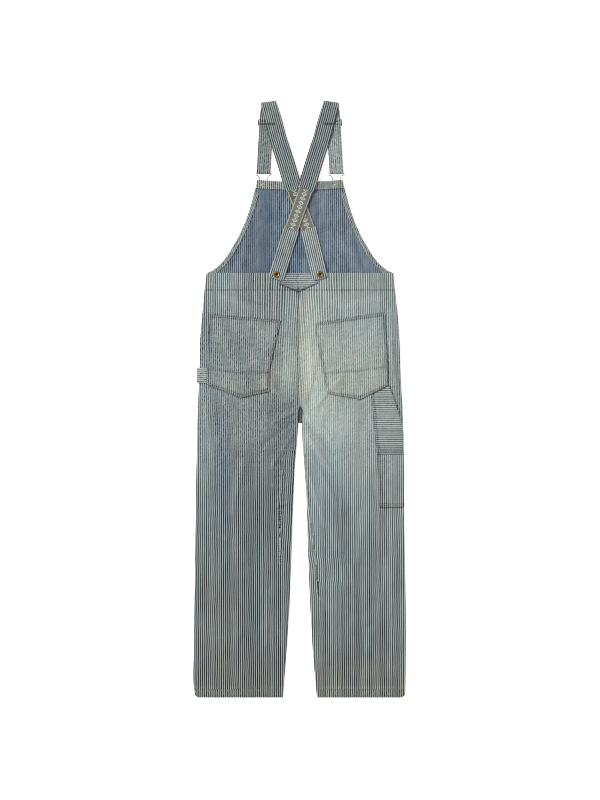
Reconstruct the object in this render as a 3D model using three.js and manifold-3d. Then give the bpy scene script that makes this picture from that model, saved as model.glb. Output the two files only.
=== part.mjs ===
// Striped bib dungarees laid flat on their front, back upwards. Millimetres: +X to the wearer's right,
// +Y towards the shoulders, +Z up. The fronts and the bib lie on the surface, the backs lie on them, and
// the shoulder straps cross on the inside of the bib and button to the back waist.
import * as THREE from 'three';
import { mergeVertices } from 'three/addons/utils/BufferGeometryUtils.js';
import Module from 'manifold-3d';

const wasm = await Module();
wasm.setup();

// ---------------------------------------------------------------- cloth and gaps
const CLOTH = 1.2; // one ply of heavy cotton
const TRIM_CLOTH = 0.9; // turned hems and the waist insert
const STRAP_CLOTH = 1.4; // two plies pressed and stitched
const GAP = 0.3; // between pieces that touch
const SEAM_GAP = 0.7; // between the middles of two rolled edges
const HEM_WALL = 1.9; // three plies at a leg end

// ---------------------------------------------------------------- body outline
const WAIST_Y = 328;
const BIB_SEAM_Y = 296;
const BACK_CROTCH_Y = -16;
const FRONT_CROTCH_Y = -61.5;
const HEM_TOP_Y = -754;
const HEM_END_Y = -775.5;
// Outer edges of the laid garment and the inner edges of its legs.
const BODY_ROWS = [
  { y: -775.5, left: -273, innerLeft: -44, innerRight: 44, right: 273.5 },
  { y: -754, left: -275.6, innerLeft: -42.5, innerRight: 42, right: 274 },
  { y: -653, left: -276, innerLeft: -34.5, innerRight: 33, right: 275 },
  { y: -543, left: -275, innerLeft: -27.5, innerRight: 26.8, right: 275 },
  { y: -434, left: -273, innerLeft: -23.1, innerRight: 22.3, right: 273 },
  { y: -325, left: -271.3, innerLeft: -19.6, innerRight: 18.5, right: 271.2 },
  { y: -252, left: -270.5, innerLeft: -16.7, innerRight: 16.8, right: 269.2 },
  { y: -179, left: -269.3, innerLeft: -13.5, innerRight: 11.2, right: 269.2 },
  { y: -107, left: -267, innerLeft: -7.5, innerRight: 6.2, right: 267.8 },
  { y: -70, left: -267, innerLeft: -5, innerRight: 5, right: 268 },
  { y: -28, left: -265.8, innerLeft: -4.4, innerRight: 8.5, right: 266.8 },
  { y: -16, left: -265.5, innerLeft: -0.15, innerRight: 0.15, right: 266.5 },
  { y: 3, left: -264.5, innerLeft: -0.15, innerRight: 0.15, right: 265 },
  { y: 75, left: -261.5, innerLeft: -0.15, innerRight: 0.15, right: 261.5 },
  { y: 148, left: -260, innerLeft: -0.15, innerRight: 0.15, right: 259 },
  { y: 221, left: -254, innerLeft: -0.15, innerRight: 0.15, right: 254 },
  { y: 263, left: -250, innerLeft: -0.15, innerRight: 0.15, right: 249 },
  { y: 300, left: -246, innerLeft: -0.15, innerRight: 0.15, right: 245 },
  { y: 328, left: -242.5, innerLeft: -0.15, innerRight: 0.15, right: 242.5 },
];

// ---------------------------------------------------------------- how the layers lie
const FRONT_MID_Z = CLOTH / 2;
const EDGE_SPACE = 2; // clear space between the layers beside a seam
const CENTRE_RISE = 1.2; // how far a back panel swells over its middle
const SEAM_Z = CLOTH + EDGE_SPACE / 2; // height of the inseams and outseams
const ROLL_REACH = 2.1; // how far in from the edge a side fold reaches
const ROLL_ANGLES = [0, 30, 60, 90];
const SWELL_START_Y = 300;
const SWELL_FULL_Y = 200;
const ROLL_START_Y = 330;
const ROLL_FULL_Y = 200;
const INNER_ROLL_FULL_Y = -150;

// The largest folds of the back legs, each along a line: half is the reach to each side, rise is negative
// for a trough.
const FOLDS = [
  { x0: -62, y0: -70, x1: -150, y1: -400, half: 46, rise: 0.9 },
  { x0: -40, y0: -170, x1: -70, y1: -470, half: 34, rise: -1.1 },
  { x0: -120, y0: -430, x1: -100, y1: -690, half: 44, rise: -0.9 },
  { x0: -205, y0: -420, x1: -190, y1: -700, half: 46, rise: 0.8 },
  { x0: 30, y0: -60, x1: 140, y1: -150, half: 30, rise: 0.9 },
  { x0: 95, y0: -230, x1: 120, y1: -640, half: 46, rise: 0.8 },
  { x0: 205, y0: -330, x1: 215, y1: -680, half: 44, rise: -0.9 },
  { x0: 45, y0: -200, x1: 55, y1: -600, half: 30, rise: -0.7 },
];

// ---------------------------------------------------------------- bib
const BIB_ROWS = [
  { y: 296, half: 245 },
  { y: 328, half: 242.5 },
  { y: 335, half: 225 },
  { y: 356, half: 201.5 },
  { y: 377, half: 185.8 },
  { y: 419, half: 161 },
  { y: 460, half: 142 },
  { y: 502, half: 127 },
  { y: 543, half: 115.5 },
  { y: 564.5, half: 110.5 },
];
const BIB_TOP_Y = 564.5;
const BIB_CORNER_RISE = 5; // the top edge dips between the clasps
const BIB_HEM_Y = 543; // lower edge of the top hem
const BIB_SIDE_HEM = 11.5;
const BIB_LIFT = 6.1; // the bib stands this high over its own buttons
const BIB_LIFT_START_Y = 440;
const BIB_LIFT_FULL_Y = 535;
const BIB_MIDDLE_SHARE = 0.55; // share of that lift between the buttons
const BIB_MIDDLE_HALF = 50;
const BIB_BUTTON_FLAT = 82;

// ---------------------------------------------------------------- waist insert, pockets and tabs
// Each row runs from a left point to a right point, and dips by dip at the share at of the way across.
const INSERT_ROWS = [
  { x0: -37, y0: 327.7, x1: 35, y1: 327.7, dip: 0, at: 0.485 },
  { x0: -54, y0: 299, x1: 47, y1: 301, dip: 22, at: 0.485 },
];
const POCKET_ROWS = {
  left: [
    { x0: -233, y0: 218, x1: -50, y1: 203, dip: 0, at: 0.547 },
    { x0: -240, y0: 78, x1: -80, y1: 70, dip: 4, at: 0.547 },
    { x0: -241, y0: 38, x1: -80, y1: 19, dip: 24.6, at: 0.547 },
  ],
  right: [
    { x0: 38, y0: 195, x1: 221, y1: 224, dip: 0, at: 0.54 },
    { x0: 62, y0: 68, x1: 229, y1: 86, dip: 4, at: 0.54 },
    { x0: 73, y0: 14, x1: 229, y1: 35, dip: 26.3, at: 0.54 },
  ],
};
// The slanted opening of the tool pocket; turn is how far the row follows the side fold.
const TOOL_POCKET_UPPER_ROWS = [
  { x0: 187, x1: 233, y0: 9.5, y1: 34.2, turn: 0 },
  { x0: 189, x1: 243, y0: -13, y1: 4, turn: 0 },
  { x0: 191.5, x1: 252.5, y0: -35, y1: -26, turn: 0 },
  { x0: 194, x1: 261.5, y0: -56, y1: -54, turn: 0 },
  { x0: 195, x1: 266.4, y0: -75, y1: -75, turn: 0.3 },
  { x0: 196, x1: 266.6, y0: -84, y1: -84, turn: 0.65 },
  { x0: 197, x1: 266.6, y0: -93, y1: -93, turn: 1 },
];
const TOOL_POCKET_SEAM_Y = -146;
const TOOL_POCKET_END_Y = -281;
const TOOL_POCKET_LEFT = [
  { y: -281, x: 207.5 },
  { y: -146, x: 201.5 },
  { y: -76, x: 195 },
];
const HAMMER_LOOP = { y: 61, width: 39, start: -241.6, reach: 7.2 };

// ---------------------------------------------------------------- straps
// The upper strap of the wearer's right side; the left one is its mirror image. lean is the angle from
// the Y axis in degrees, and height is the middle of the strap.
const SLIDE_AT = { x: 87.4, y: 717.6, lean: -3.27 };
const SLIDE_PITCH = 7.5; // from bar to bar
const CLASP_AT = { x: 94.8, y: 587 };
const FRONT_STRAP_WIDTH = 36.6;
const ELASTIC_WIDTH = 36;
const ELASTIC = 1.4;
// along is measured from the slide's middle bar towards the shoulder.
const RETURN_PLY = [
  { along: 2.05, height: 2.5 },
  { along: 1.9, height: 3.6 },
  { along: 1.1, height: 4.35 },
  { along: -0.4, height: 4.6 },
  { along: -4, height: 5.6 },
  { along: -7.5, height: 6.5 },
  { along: -11, height: 6.3 },
  { along: -17, height: 4.6 },
  { along: -28, height: 2.9 },
  { along: -70, height: 2.7 },
  { along: -105, height: 2.9 },
  { along: -119, height: 4.6 },
  { along: -125, height: 6.1 },
];
const MAIN_PLY = [
  { along: -122, height: 1.6 },
  { along: -112, height: 0.9 },
  { along: -60, height: 0.8 },
  { along: -20, height: 0.85 },
  { along: -14, height: 1.7 },
  { along: -10.6, height: 4.1 },
  { along: -9, height: 4.7 },
  { along: -7.3, height: 4.75 },
  { along: -5.6, height: 4.3 },
  { along: -3.8, height: 2.7 },
  { along: -2.6, height: 1.3 },
  { along: -0.8, height: 0.85 },
  { along: 1.6, height: 0.95 },
  { along: 3.3, height: 1.6 },
  { along: 4.6, height: 2.9 },
  { along: 5.7, height: 4.3 },
  { along: 7.5, height: 4.75 },
  { along: 9.6, height: 4.4 },
  { along: 14, height: 2.2 },
  { along: 22, height: 1.1 },
];
const CLASP_WRAP_RADIUS = 2.2;
const CLASP_Z = 4.4;
const FOLD_AT = { x: 81.3, y: 771, radius: 2.1, low: 1.2 };
const DIAGONAL_ROWS = [
  { x: 76, y: 752, height: 6.1, width: 41.5, lean: 14 },
  { x: 71.6, y: 734, height: 7.1, width: 43, lean: 15.5 },
  { x: 67.8, y: 720, height: 8.1, width: 44, lean: 16 },
  { x: 64.5, y: 708, height: 8.2, width: 44, lean: 16 },
  { x: 60.9, y: 694, height: 7.4, width: 44, lean: 16.5 },
  { x: 56.3, y: 676, height: 5.4, width: 44, lean: 17 },
  { x: 47, y: 646, height: 4.6, width: 45.5, lean: 17 },
  { x: 38.8, y: 621, height: 4.6, width: 45.5, lean: 17 },
  { x: 31.3, y: 596, height: 5.8, width: 45.5, lean: 17 },
  { x: 24.1, y: 571, height: 7.3, width: 46, lean: 18 },
  { x: 20, y: 557, height: 7.3, width: 46, lean: 19 },
  { x: 15.7, y: 543.9, height: 7.3, width: 40, lean: 20.1 },
];
const ELASTIC_ENDS = { top: { x: 15.5, y: 543.5 }, bottom: { x: 21.6, y: 442 } };
// Under side of the elastic where it lies on the inside of the bib.
const ELASTIC_HEIGHTS = [
  { y: 442, rest: 1.7 },
  { y: 470, rest: 2.6 },
  { y: 500, rest: 4.1 },
  { y: 520, rest: 5.1 },
  { y: 533, rest: 6 },
  { y: 543.5, rest: 6.6 },
];
const STRAP_END_Y = 311;
const STRAP_END_X = { left: -62.6, right: 52.2 };
// share is the way from the button end to the elastic.
const STRAP_END_ROWS = [
  { share: 0, rest: 6, width: 30 },
  { share: 0.02, rest: 6, width: 37 },
  { share: 0.05, rest: 6, width: 40.5 },
  { share: 0.1, rest: 6, width: 41.5 },
  { share: 0.16, rest: 6, width: 41.5 },
  { share: 0.22, rest: 5.7, width: 41.5 },
  { share: 0.32, rest: 3.9, width: 41.5 },
  { share: 0.44, rest: 1.9, width: 41.5 },
  { share: 0.6, rest: 1.7, width: 41.5 },
  { share: 0.8, rest: 1.7, width: 41.5 },
  { share: 1, rest: 1.7, width: 40.5 },
];
const CROSSING_LIFT = STRAP_CLOTH + 1.1; // the two slope while they cross
const CROSSING = { low: 395, lowFull: 428, highFull: 578, high: 608 };

// ---------------------------------------------------------------- hardware
const BIB_BUTTON = { x: 94.8, y: 555, radius: 8.5, cap: 2.9, neck: 2.6 };
const BACK_BUTTON = { y: 324, radius: 8, cap: 2.6, neck: 2.4, x: { left: -61, right: 52 } };
const WIRE_RADIUS = 1.2;
const SLIDE = { width: 42.8, bar: 2, rail: 2.4, thickness: 1.6, bottom: 1.9, corner: 1.6 };
const ROUND_SIDES = 24;

// ---------------------------------------------------------------- finishes
const finish = (color, roughness, metalness = 0) =>
  new THREE.MeshStandardMaterial({ color, roughness, metalness, side: THREE.DoubleSide });
const FADED_STRIPE = finish('#97a19f', 0.92);
const INSIDE_STRIPE = finish('#7b8793', 0.92);
const STRAP_STRIPE = finish('#828c90', 0.92);
const ELASTIC_WEB = finish('#85857f', 0.85);
const BRASS = finish('#9a7535', 0.35, 1);
const STEEL = finish('#d2cfc6', 0.25, 1);
const DARK_STEEL = finish('#5d5a55', 0.4, 1);

// ================================================================ helpers
const garment = new THREE.Group();

function add(name, geometry, material) {
  const mesh = new THREE.Mesh(geometry, material);
  mesh.name = name;
  garment.add(mesh);
  return mesh;
}

const lerp = THREE.MathUtils.lerp;
const radians = THREE.MathUtils.degToRad;
const ramp = (value, from, to) =>
  from < to ? THREE.MathUtils.smoothstep(value, from, to) : 1 - THREE.MathUtils.smoothstep(value, to, from);

/** Smooth function of key through the named column of a table, whose key column rises. */
function column(rows, key, name) {
  const curve = new THREE.CubicInterpolant(rows.map((row) => row[key]), rows.map((row) => row[name]), 1);
  return (value) => curve.evaluate(value)[0];
}

/** Straight-line function of key through the named column of a table, whose key column rises. */
function linear(rows, key, name) {
  const line = new THREE.LinearInterpolant(rows.map((row) => row[key]), rows.map((row) => row[name]), 1);
  return (value) => line.evaluate(value)[0];
}

/** count + 1 even steps from one value to another. */
const steps = (from, to, count) => Array.from({ length: count + 1 }, (_, i) => lerp(from, to, i / count));

/** BufferGeometry of points and quads, turned so that its faces point out. */
function closedGeometry(points, quads) {
  const indices = quads.flatMap(([a, b, c, d]) => [a, b, c, a, c, d]);
  let volume = 0;
  for (let i = 0; i < indices.length; i += 3) {
    const [a, b, c] = indices.slice(i, i + 3).map((index) => points[index]);
    volume += a.dot(new THREE.Vector3().crossVectors(b, c));
  }
  const geometry = new THREE.BufferGeometry().setFromPoints(points);
  geometry.setIndex(volume < 0 ? indices.reverse() : indices);
  geometry.computeVertexNormals();
  return geometry;
}

/** Unit normals of a grid of mid-surface points; closed grids wrap round from the last column. */
function gridNormals(grid, closed) {
  const rows = grid.length;
  const columns = grid[0].length;
  return grid.map((row, i) =>
    row.map((_, j) => {
      const before = closed ? (j + columns - 1) % columns : Math.max(j - 1, 0);
      const after = closed ? (j + 1) % columns : Math.min(j + 1, columns - 1);
      const across = row[after].clone().sub(row[before]);
      const along = grid[Math.min(i + 1, rows - 1)][j].clone().sub(grid[Math.max(i - 1, 0)][j]);
      return across.cross(along).normalize();
    }),
  );
}

/** Closed wall of even thickness on a grid of mid-surface points, or a tube of it where closed. */
function wall(grid, thickness, closed = false) {
  const rows = grid.length;
  const columns = grid[0].length;
  const normals = gridNormals(grid, closed);
  const face = (offset) =>
    grid.flatMap((row, i) => row.map((p, j) => p.clone().addScaledVector(normals[i][j], offset)));
  const points = [...face(thickness / 2), ...face(-thickness / 2)];
  const top = (i, j) => i * columns + (j % columns);
  const bottom = (i, j) => rows * columns + top(i, j);
  const quads = [];
  const spans = closed ? columns : columns - 1;
  for (let i = 0; i < rows - 1; i += 1) {
    for (let j = 0; j < spans; j += 1) {
      quads.push([top(i, j), top(i, j + 1), top(i + 1, j + 1), top(i + 1, j)]);
      quads.push([bottom(i + 1, j), bottom(i + 1, j + 1), bottom(i, j + 1), bottom(i, j)]);
    }
    if (!closed) {
      quads.push([bottom(i, 0), top(i, 0), top(i + 1, 0), bottom(i + 1, 0)]);
      quads.push([top(i, spans), bottom(i, spans), bottom(i + 1, spans), top(i + 1, spans)]);
    }
  }
  for (let j = 0; j < spans; j += 1) {
    quads.push([top(0, j), bottom(0, j), bottom(0, j + 1), top(0, j + 1)]);
    quads.push([bottom(rows - 1, j), top(rows - 1, j), top(rows - 1, j + 1), bottom(rows - 1, j + 1)]);
  }
  return closedGeometry(points, quads);
}

/** The geometry's solid for a boolean. */
function solidOf(geometry) {
  const bare = geometry.clone();
  bare.deleteAttribute('normal');
  bare.deleteAttribute('uv');
  const merged = mergeVertices(bare, 1e-4);
  const vertProperties = new Float32Array(merged.attributes.position.array);
  const triVerts = new Uint32Array(merged.index.array);
  return new wasm.Manifold(new wasm.Mesh({ numProp: 3, vertProperties, triVerts }));
}

function cutAway(geometry, tool) {
  const mesh = solidOf(geometry).subtract(solidOf(tool)).getMesh();
  const cut = new THREE.BufferGeometry();
  cut.setAttribute('position', new THREE.BufferAttribute(new Float32Array(mesh.vertProperties), 3));
  cut.setIndex(new THREE.BufferAttribute(new Uint32Array(mesh.triVerts), 1));
  cut.computeVertexNormals();
  return cut;
}

// ================================================================ body of the garment
const outline = {
  left: { outer: column(BODY_ROWS, 'y', 'left'), inner: linear(BODY_ROWS, 'y', 'innerLeft') },
  right: { outer: column(BODY_ROWS, 'y', 'right'), inner: linear(BODY_ROWS, 'y', 'innerRight') },
};
const outerRoll = (y) => ramp(y, ROLL_START_Y, ROLL_FULL_Y);
const innerRoll = (y) => ramp(y, BACK_CROTCH_Y, INNER_ROLL_FULL_Y);

/** Height that a fold adds at a point: a soft ridge or trough that fades out at both ends. */
function foldHeight(fold, x, y) {
  const run = new THREE.Line3(new THREE.Vector3(fold.x0, fold.y0), new THREE.Vector3(fold.x1, fold.y1));
  const point = new THREE.Vector3(x, y);
  const away = point.distanceTo(run.closestPointToPoint(point, true, new THREE.Vector3()));
  return fold.rise * ramp(away, fold.half, 0);
}

/** Middle height of a back panel away from its rolled edges. */
function backHeight(x, y) {
  const side = x < 0 ? outline.left : outline.right;
  const share = (x - side.inner(y)) / (side.outer(y) - side.inner(y));
  const swell = THREE.MathUtils.clamp(1 - (2 * share - 1) ** 2, 0, 1);
  const fade = ramp(y, SWELL_START_Y, SWELL_FULL_Y) * ramp(y, HEM_TOP_Y, HEM_TOP_Y + 150);
  const folds = FOLDS.reduce((sum, fold) => sum + foldHeight(fold, x, y), 0);
  const edge = ramp(swell, 0, 0.35);
  return CLOTH * 1.5 + EDGE_SPACE + (CENTRE_RISE * swell + folds * edge) * fade;
}

const backTop = (x, y) => backHeight(x, y) + CLOTH / 2;

/** Point of a side fold: angle 90 where it leaves the panel, 0 at the seam; out moves it off the cloth. */
function rollPoint(edge, inward, y, amount, height, angle, out = 0) {
  const seam = height > SEAM_Z ? SEAM_Z + SEAM_GAP / 2 : SEAM_Z - SEAM_GAP / 2;
  const inset = (CLOTH / 2) * amount;
  const centre = edge + inward * (inset + ROLL_REACH);
  const drop = (height - seam) * amount;
  const offset = height > SEAM_Z ? out : -out;
  const x = centre - inward * (ROLL_REACH + out) * Math.cos(radians(angle));
  const z = height - drop * (1 - Math.sin(radians(angle))) + offset * Math.sin(radians(angle));
  return new THREE.Vector3(x, y, z);
}

/** One row of a leg panel, from its left edge to its right edge. */
function panelRow(y, left, right, leftRoll, rightRoll, height, inner) {
  const from = left + CLOTH / 2 + ROLL_REACH;
  const to = right - CLOTH / 2 - ROLL_REACH;
  const middle = steps(from, to, inner + 1).slice(1, -1).map((x) => new THREE.Vector3(x, y, height(x, y)));
  const start = ROLL_ANGLES.map((angle) => rollPoint(left, 1, y, leftRoll, height(from, y), angle));
  const end = ROLL_ANGLES.map((angle) => rollPoint(right, -1, y, rightRoll, height(to, y), angle));
  return [...start, ...middle, ...end.reverse()];
}

/** A leg panel of one side on rows of y, with inner giving its edge at the centre or the inseam. */
function legPanel(side, rows, inner, innerAmount, height, columns) {
  const outer = outline[side].outer;
  const grid = rows.map((y) =>
    side === 'left'
      ? panelRow(y, outer(y), inner(y), outerRoll(y), innerAmount(y), height, columns)
      : panelRow(y, inner(y), outer(y), innerAmount(y), outerRoll(y), height, columns),
  );
  return wall(grid, CLOTH);
}

function buildBacks() {
  const rows = [
    ...steps(HEM_TOP_Y + GAP, -160, 11),
    ...steps(-135, FRONT_CROTCH_Y, 2),
    -40,
    -28,
    BACK_CROTCH_Y,
    ...steps(20, SWELL_FULL_Y, 4),
    ...steps(240, WAIST_Y, 3),
  ];
  for (const side of ['left', 'right']) {
    const panel = legPanel(side, rows, outline[side].inner, innerRoll, backHeight, 7);
    add(`back_${side}`, panel, FADED_STRIPE);
  }
}

function buildFronts() {
  const crotch = [FRONT_CROTCH_Y - 1.3, FRONT_CROTCH_Y];
  const rows = [
    ...steps(HEM_TOP_Y + GAP, -160, 5),
    -110,
    ...crotch,
    ...steps(-20, ROLL_FULL_Y, 3),
    ...steps(236, BIB_SEAM_Y - GAP, 2),
  ];
  for (const side of ['left', 'right']) {
    const centre = side === 'left' ? -GAP / 2 : GAP / 2;
    const inner = (y) => (y < FRONT_CROTCH_Y ? outline[side].inner(y) : centre);
    const amount = (y) => (y < FRONT_CROTCH_Y ? innerRoll(y) : 0);
    add(`front_${side}`, legPanel(side, rows, inner, amount, () => FRONT_MID_Z, 3), FADED_STRIPE);
  }
}

/** The turned-up end of a leg: a flattened tube with a rounded outer corner. */
function buildHem(side) {
  const low = HEM_WALL / 2;
  const high = CLOTH * 2 + EDGE_SPACE - HEM_WALL / 2;
  const radius = (high - low) / 2;
  const reach = 1.6;
  const corner = { start: 262, length: 12.5, rise: 9 };
  const turn = [-90, -45, 0, 45, 90];
  const loop = (y, share) => {
    const [a, b] = [outline[side].inner(y), outline[side].outer(y)].sort((p, q) => p - q);
    const left = a + HEM_WALL / 2 + reach;
    const right = b - HEM_WALL / 2 - reach;
    const across = steps(left, right, 8).slice(1, -1);
    const round = (centre, sign, angle) => [
      centre + sign * reach * Math.cos(radians(angle)),
      low + radius * (1 + Math.sin(radians(angle))),
    ];
    const section = [
      ...across.map((x) => [x, low]),
      ...turn.map((angle) => round(right, 1, angle)),
      ...[...across].reverse().map((x) => [x, high]),
      ...[...turn].reverse().map((angle) => round(left, -1, angle)),
    ];
    return section.map(([x, z]) => {
      const past = THREE.MathUtils.clamp((Math.abs(x) - corner.start) / corner.length, 0, 1);
      return new THREE.Vector3(x, y + share * corner.rise * past ** 2, z);
    });
  };
  const rows = [0, 0.5, 1].map((share) => loop(lerp(HEM_TOP_Y, HEM_END_Y, share), share));
  add(`hem_${side}`, wall(rows, HEM_WALL, true), FADED_STRIPE);
}

// ================================================================ bib
const bibHalf = linear(BIB_ROWS, 'y', 'half');

function bibLift(x, y) {
  const middle = lerp(BIB_MIDDLE_SHARE, 1, ramp(Math.abs(x), BIB_MIDDLE_HALF, BIB_BUTTON_FLAT));
  return BIB_LIFT * middle * ramp(y, BIB_LIFT_START_Y, BIB_LIFT_FULL_Y);
}

/** A row of bib points at share -1 to 1 of its half width, rising to the top corners. */
function bibRow(y, shares, height) {
  return shares.map((share) => {
    const x = share * bibHalf(y);
    const corner = BIB_CORNER_RISE * share ** 2 * ramp(y, BIB_LIFT_START_Y, BIB_TOP_Y);
    return new THREE.Vector3(x, y + corner, height + bibLift(x, y));
  });
}

function buildBib() {
  const shares = steps(-1, 1, 14);
  const lower = [BIB_SEAM_Y, WAIST_Y, 335, 345, 356, 377, 398, 419, 440];
  const hem = steps(BIB_HEM_Y, BIB_TOP_Y, 2);
  const rows = [...lower, ...steps(460, 530, 3), ...hem];
  add('bib', wall(rows.map((y) => bibRow(y, shares, CLOTH / 2)), CLOTH), INSIDE_STRIPE);
  const above = CLOTH + GAP + CLOTH / 2;
  add('bib_top_hem', wall(hem.map((y) => bibRow(y, shares, above)), CLOTH), STRAP_STRIPE);
}

/** The narrow turned hem of one bib side, square to the curved edge. */
function buildBibSideHem(side, sign) {
  const rows = [329, 332, 335, 345, 356, 366, 377, 398, 419, 440, 460, 477.5, 495, 512, 526, 538];
  const grid = rows.map((y) => {
    const edge = new THREE.Vector2(bibHalf(y), y);
    const run = new THREE.Vector2(bibHalf(y + 5) - bibHalf(y - 5), 10).normalize();
    return [0, 0.5, 1].map((share) => {
      const reach = share * BIB_SIDE_HEM;
      const x = edge.x - run.y * reach;
      const depth = edge.y + run.x * reach;
      const height = CLOTH + GAP + TRIM_CLOTH / 2 + bibLift(x, depth);
      return new THREE.Vector3(sign * x, depth, height + 0.1);
    });
  });
  add(`bib_side_hem_${side}`, wall(grid, TRIM_CLOTH), STRAP_STRIPE);
}

// ================================================================ pieces on the backs
/** Points across one dipped row of a patch. */
function patchRow(row, shares) {
  return shares.map((share) => {
    const dip = row.dip * (share < row.at ? share / row.at : (1 - share) / (1 - row.at));
    return new THREE.Vector2(lerp(row.x0, row.x1, share), lerp(row.y0, row.y1, share) - dip);
  });
}

/** Patch through its rows, laid on the back and moved off it by the gap. */
function patch(rows, shares, between, thickness) {
  const blend = (a, b, t) => Object.fromEntries(Object.keys(a).map((key) => [key, lerp(a[key], b[key], t)]));
  const filled = rows.flatMap((row, i) =>
    i === rows.length - 1 ? [row] : steps(0, 1, between).slice(0, -1).map((t) => blend(row, rows[i + 1], t)),
  );
  const lay = (p) => new THREE.Vector3(p.x, p.y, backTop(p.x, p.y) + GAP + thickness / 2);
  return wall(filled.map((row) => patchRow(row, shares).map(lay)), thickness);
}

function buildPatches() {
  const insertShares = [...steps(0, INSERT_ROWS[0].at, 3), ...steps(INSERT_ROWS[0].at, 1, 3).slice(1)];
  add('waist_insert', patch(INSERT_ROWS, insertShares, 3, TRIM_CLOTH), FADED_STRIPE);
  for (const side of ['left', 'right']) {
    const { at } = POCKET_ROWS[side][0];
    const shares = [...steps(0, at, 4), ...steps(at, 1, 4).slice(1)];
    add(`back_pocket_${side}`, patch(POCKET_ROWS[side], shares, 4, CLOTH), FADED_STRIPE);
  }
}

/** A tool pocket row from (x0, y0) to (x1, y1), whose last columns follow the side fold by turn. */
function toolRow({ x0, x1, y0, y1, turn }) {
  const lift = GAP + CLOTH;
  const edge = outline.right.outer(y1);
  const fold = edge - CLOTH / 2 - ROLL_REACH;
  const lay = (x, y) => new THREE.Vector3(x, y, backHeight(x, y) + lift);
  const shares = steps(0, 1, 5).slice(0, -1);
  const flat = shares.map((share) => lay(lerp(x0, x1 - 3, share), lerp(y0, y1, share)));
  if (turn === 0) return [...flat, ...[2.4, 1.6, 0.8, 0].map((back) => lay(x1 - back, y1))];
  const rolled = ROLL_ANGLES.map((angle) =>
    rollPoint(edge, -1, y1, 1, backHeight(fold, y1), 90 - turn * angle, lift + 0.1),
  );
  return [...flat, ...rolled];
}

function buildToolPocket() {
  const left = linear(TOOL_POCKET_LEFT, 'y', 'x');
  const square = (y) => {
    const fold = outline.right.outer(y) - CLOTH / 2 - ROLL_REACH;
    return toolRow({ x0: left(y), x1: fold, y0: y, y1: y, turn: 1 });
  };
  const upper = [...TOOL_POCKET_UPPER_ROWS.map(toolRow), square(-120), square(TOOL_POCKET_SEAM_Y + GAP)];
  add('tool_pocket_upper', wall(upper, CLOTH), FADED_STRIPE);
  const lower = steps(TOOL_POCKET_SEAM_Y, TOOL_POCKET_END_Y, 5).map(square);
  add('tool_pocket_lower', wall(lower, CLOTH), FADED_STRIPE);
}

/** The hammer loop leaves the left pocket, stands clear of the side and is caught at the outseam. */
function buildHammerLoop() {
  const { y, width, start, reach } = HAMMER_LOOP;
  const edge = outline.left.outer(y);
  const top = backTop(start, y) + GAP + CLOTH / 2;
  const section = [
    [start, top],
    [start - 8, top + 0.1],
    [edge + 4, top + 0.1],
    [edge - 2.5, top - 0.3],
    [edge - reach + 1.6, top - 1.3],
    [edge - reach + 0.6, SEAM_Z + 0.4],
    [edge - reach + 1.2, SEAM_Z - 0.7],
    [edge - 3.4, SEAM_Z - 1.3],
    [edge - 1, SEAM_Z - 1.2],
  ];
  const grid = steps(y - width / 2, y + width / 2, 2).map((row) =>
    section.map(([x, z]) => new THREE.Vector3(x, row, z)),
  );
  add('hammer_loop', wall(grid, CLOTH), FADED_STRIPE);
}

// ================================================================ straps
/** Wall along stations of { x, y, height, width, lean }, level across its width. */
function ribbon(stations, sign, thickness, across = 1) {
  const grid = stations.map(({ x, y, height, width, lean }) => {
    const angle = radians(lean);
    return steps(-width / 2, width / 2, across).map(
      (u) => new THREE.Vector3(sign * (x + u * Math.cos(angle)), y - u * Math.sin(angle), height),
    );
  });
  return wall(grid, thickness);
}

const crossingLift = (y) =>
  CROSSING_LIFT * ramp(y, CROSSING.low, CROSSING.lowFull) * ramp(y, CROSSING.high, CROSSING.highFull);

const CLASP_ALONG = (CLASP_AT.y - SLIDE_AT.y) / Math.cos(radians(SLIDE_AT.lean));

/** Station on the front stretch of a strap, along mm from the slide; it squares up to the clasp's bar. */
function frontStation({ along, height }) {
  const angle = radians(SLIDE_AT.lean);
  return {
    x: SLIDE_AT.x + along * Math.sin(angle),
    y: SLIDE_AT.y + along * Math.cos(angle),
    height,
    width: FRONT_STRAP_WIDTH,
    lean: SLIDE_AT.lean * ramp(along, CLASP_ALONG + 3, CLASP_ALONG + 40),
  };
}

/** The strap's turn round the bar of the clasp. */
function claspWrap() {
  return [90, 135, 180, 225, 270].map((angle) =>
    frontStation({
      along: CLASP_ALONG + CLASP_WRAP_RADIUS * Math.cos(radians(angle)),
      height: CLASP_Z + CLASP_WRAP_RADIUS * Math.sin(radians(angle)),
    }),
  );
}

/** The flat fold at the shoulder, from the low front stretch to the high diagonal. */
function shoulderFold() {
  const { x, y, radius, low } = FOLD_AT;
  const turn = [-90, -50, -15, 15, 50, 90].map((angle, i) => ({
    x,
    y: y + radius * Math.cos(radians(angle)),
    height: low + radius * (1 + Math.sin(radians(angle))),
    width: 39.5,
    lean: lerp(5, 10, i / 5),
  }));
  const before = { x: x + 1, y: y - 14, height: 1, width: 38.5, lean: 1 };
  return [before, ...turn];
}

/** The cloth strap of one shoulder: slide, clasp, slide again, shoulder fold, then down to the elastic. */
function buildUpperStrap(side, sign, over) {
  const diagonal = DIAGONAL_ROWS.map((row) => ({ ...row, height: row.height + over * crossingLift(row.y) }));
  const stations = [
    ...RETURN_PLY.map(frontStation),
    ...claspWrap(),
    ...MAIN_PLY.map(frontStation),
    ...shoulderFold(),
    ...diagonal,
  ];
  add(`strap_${side}`, ribbon(stations, sign, STRAP_CLOTH), STRAP_STRIPE);
}

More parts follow.
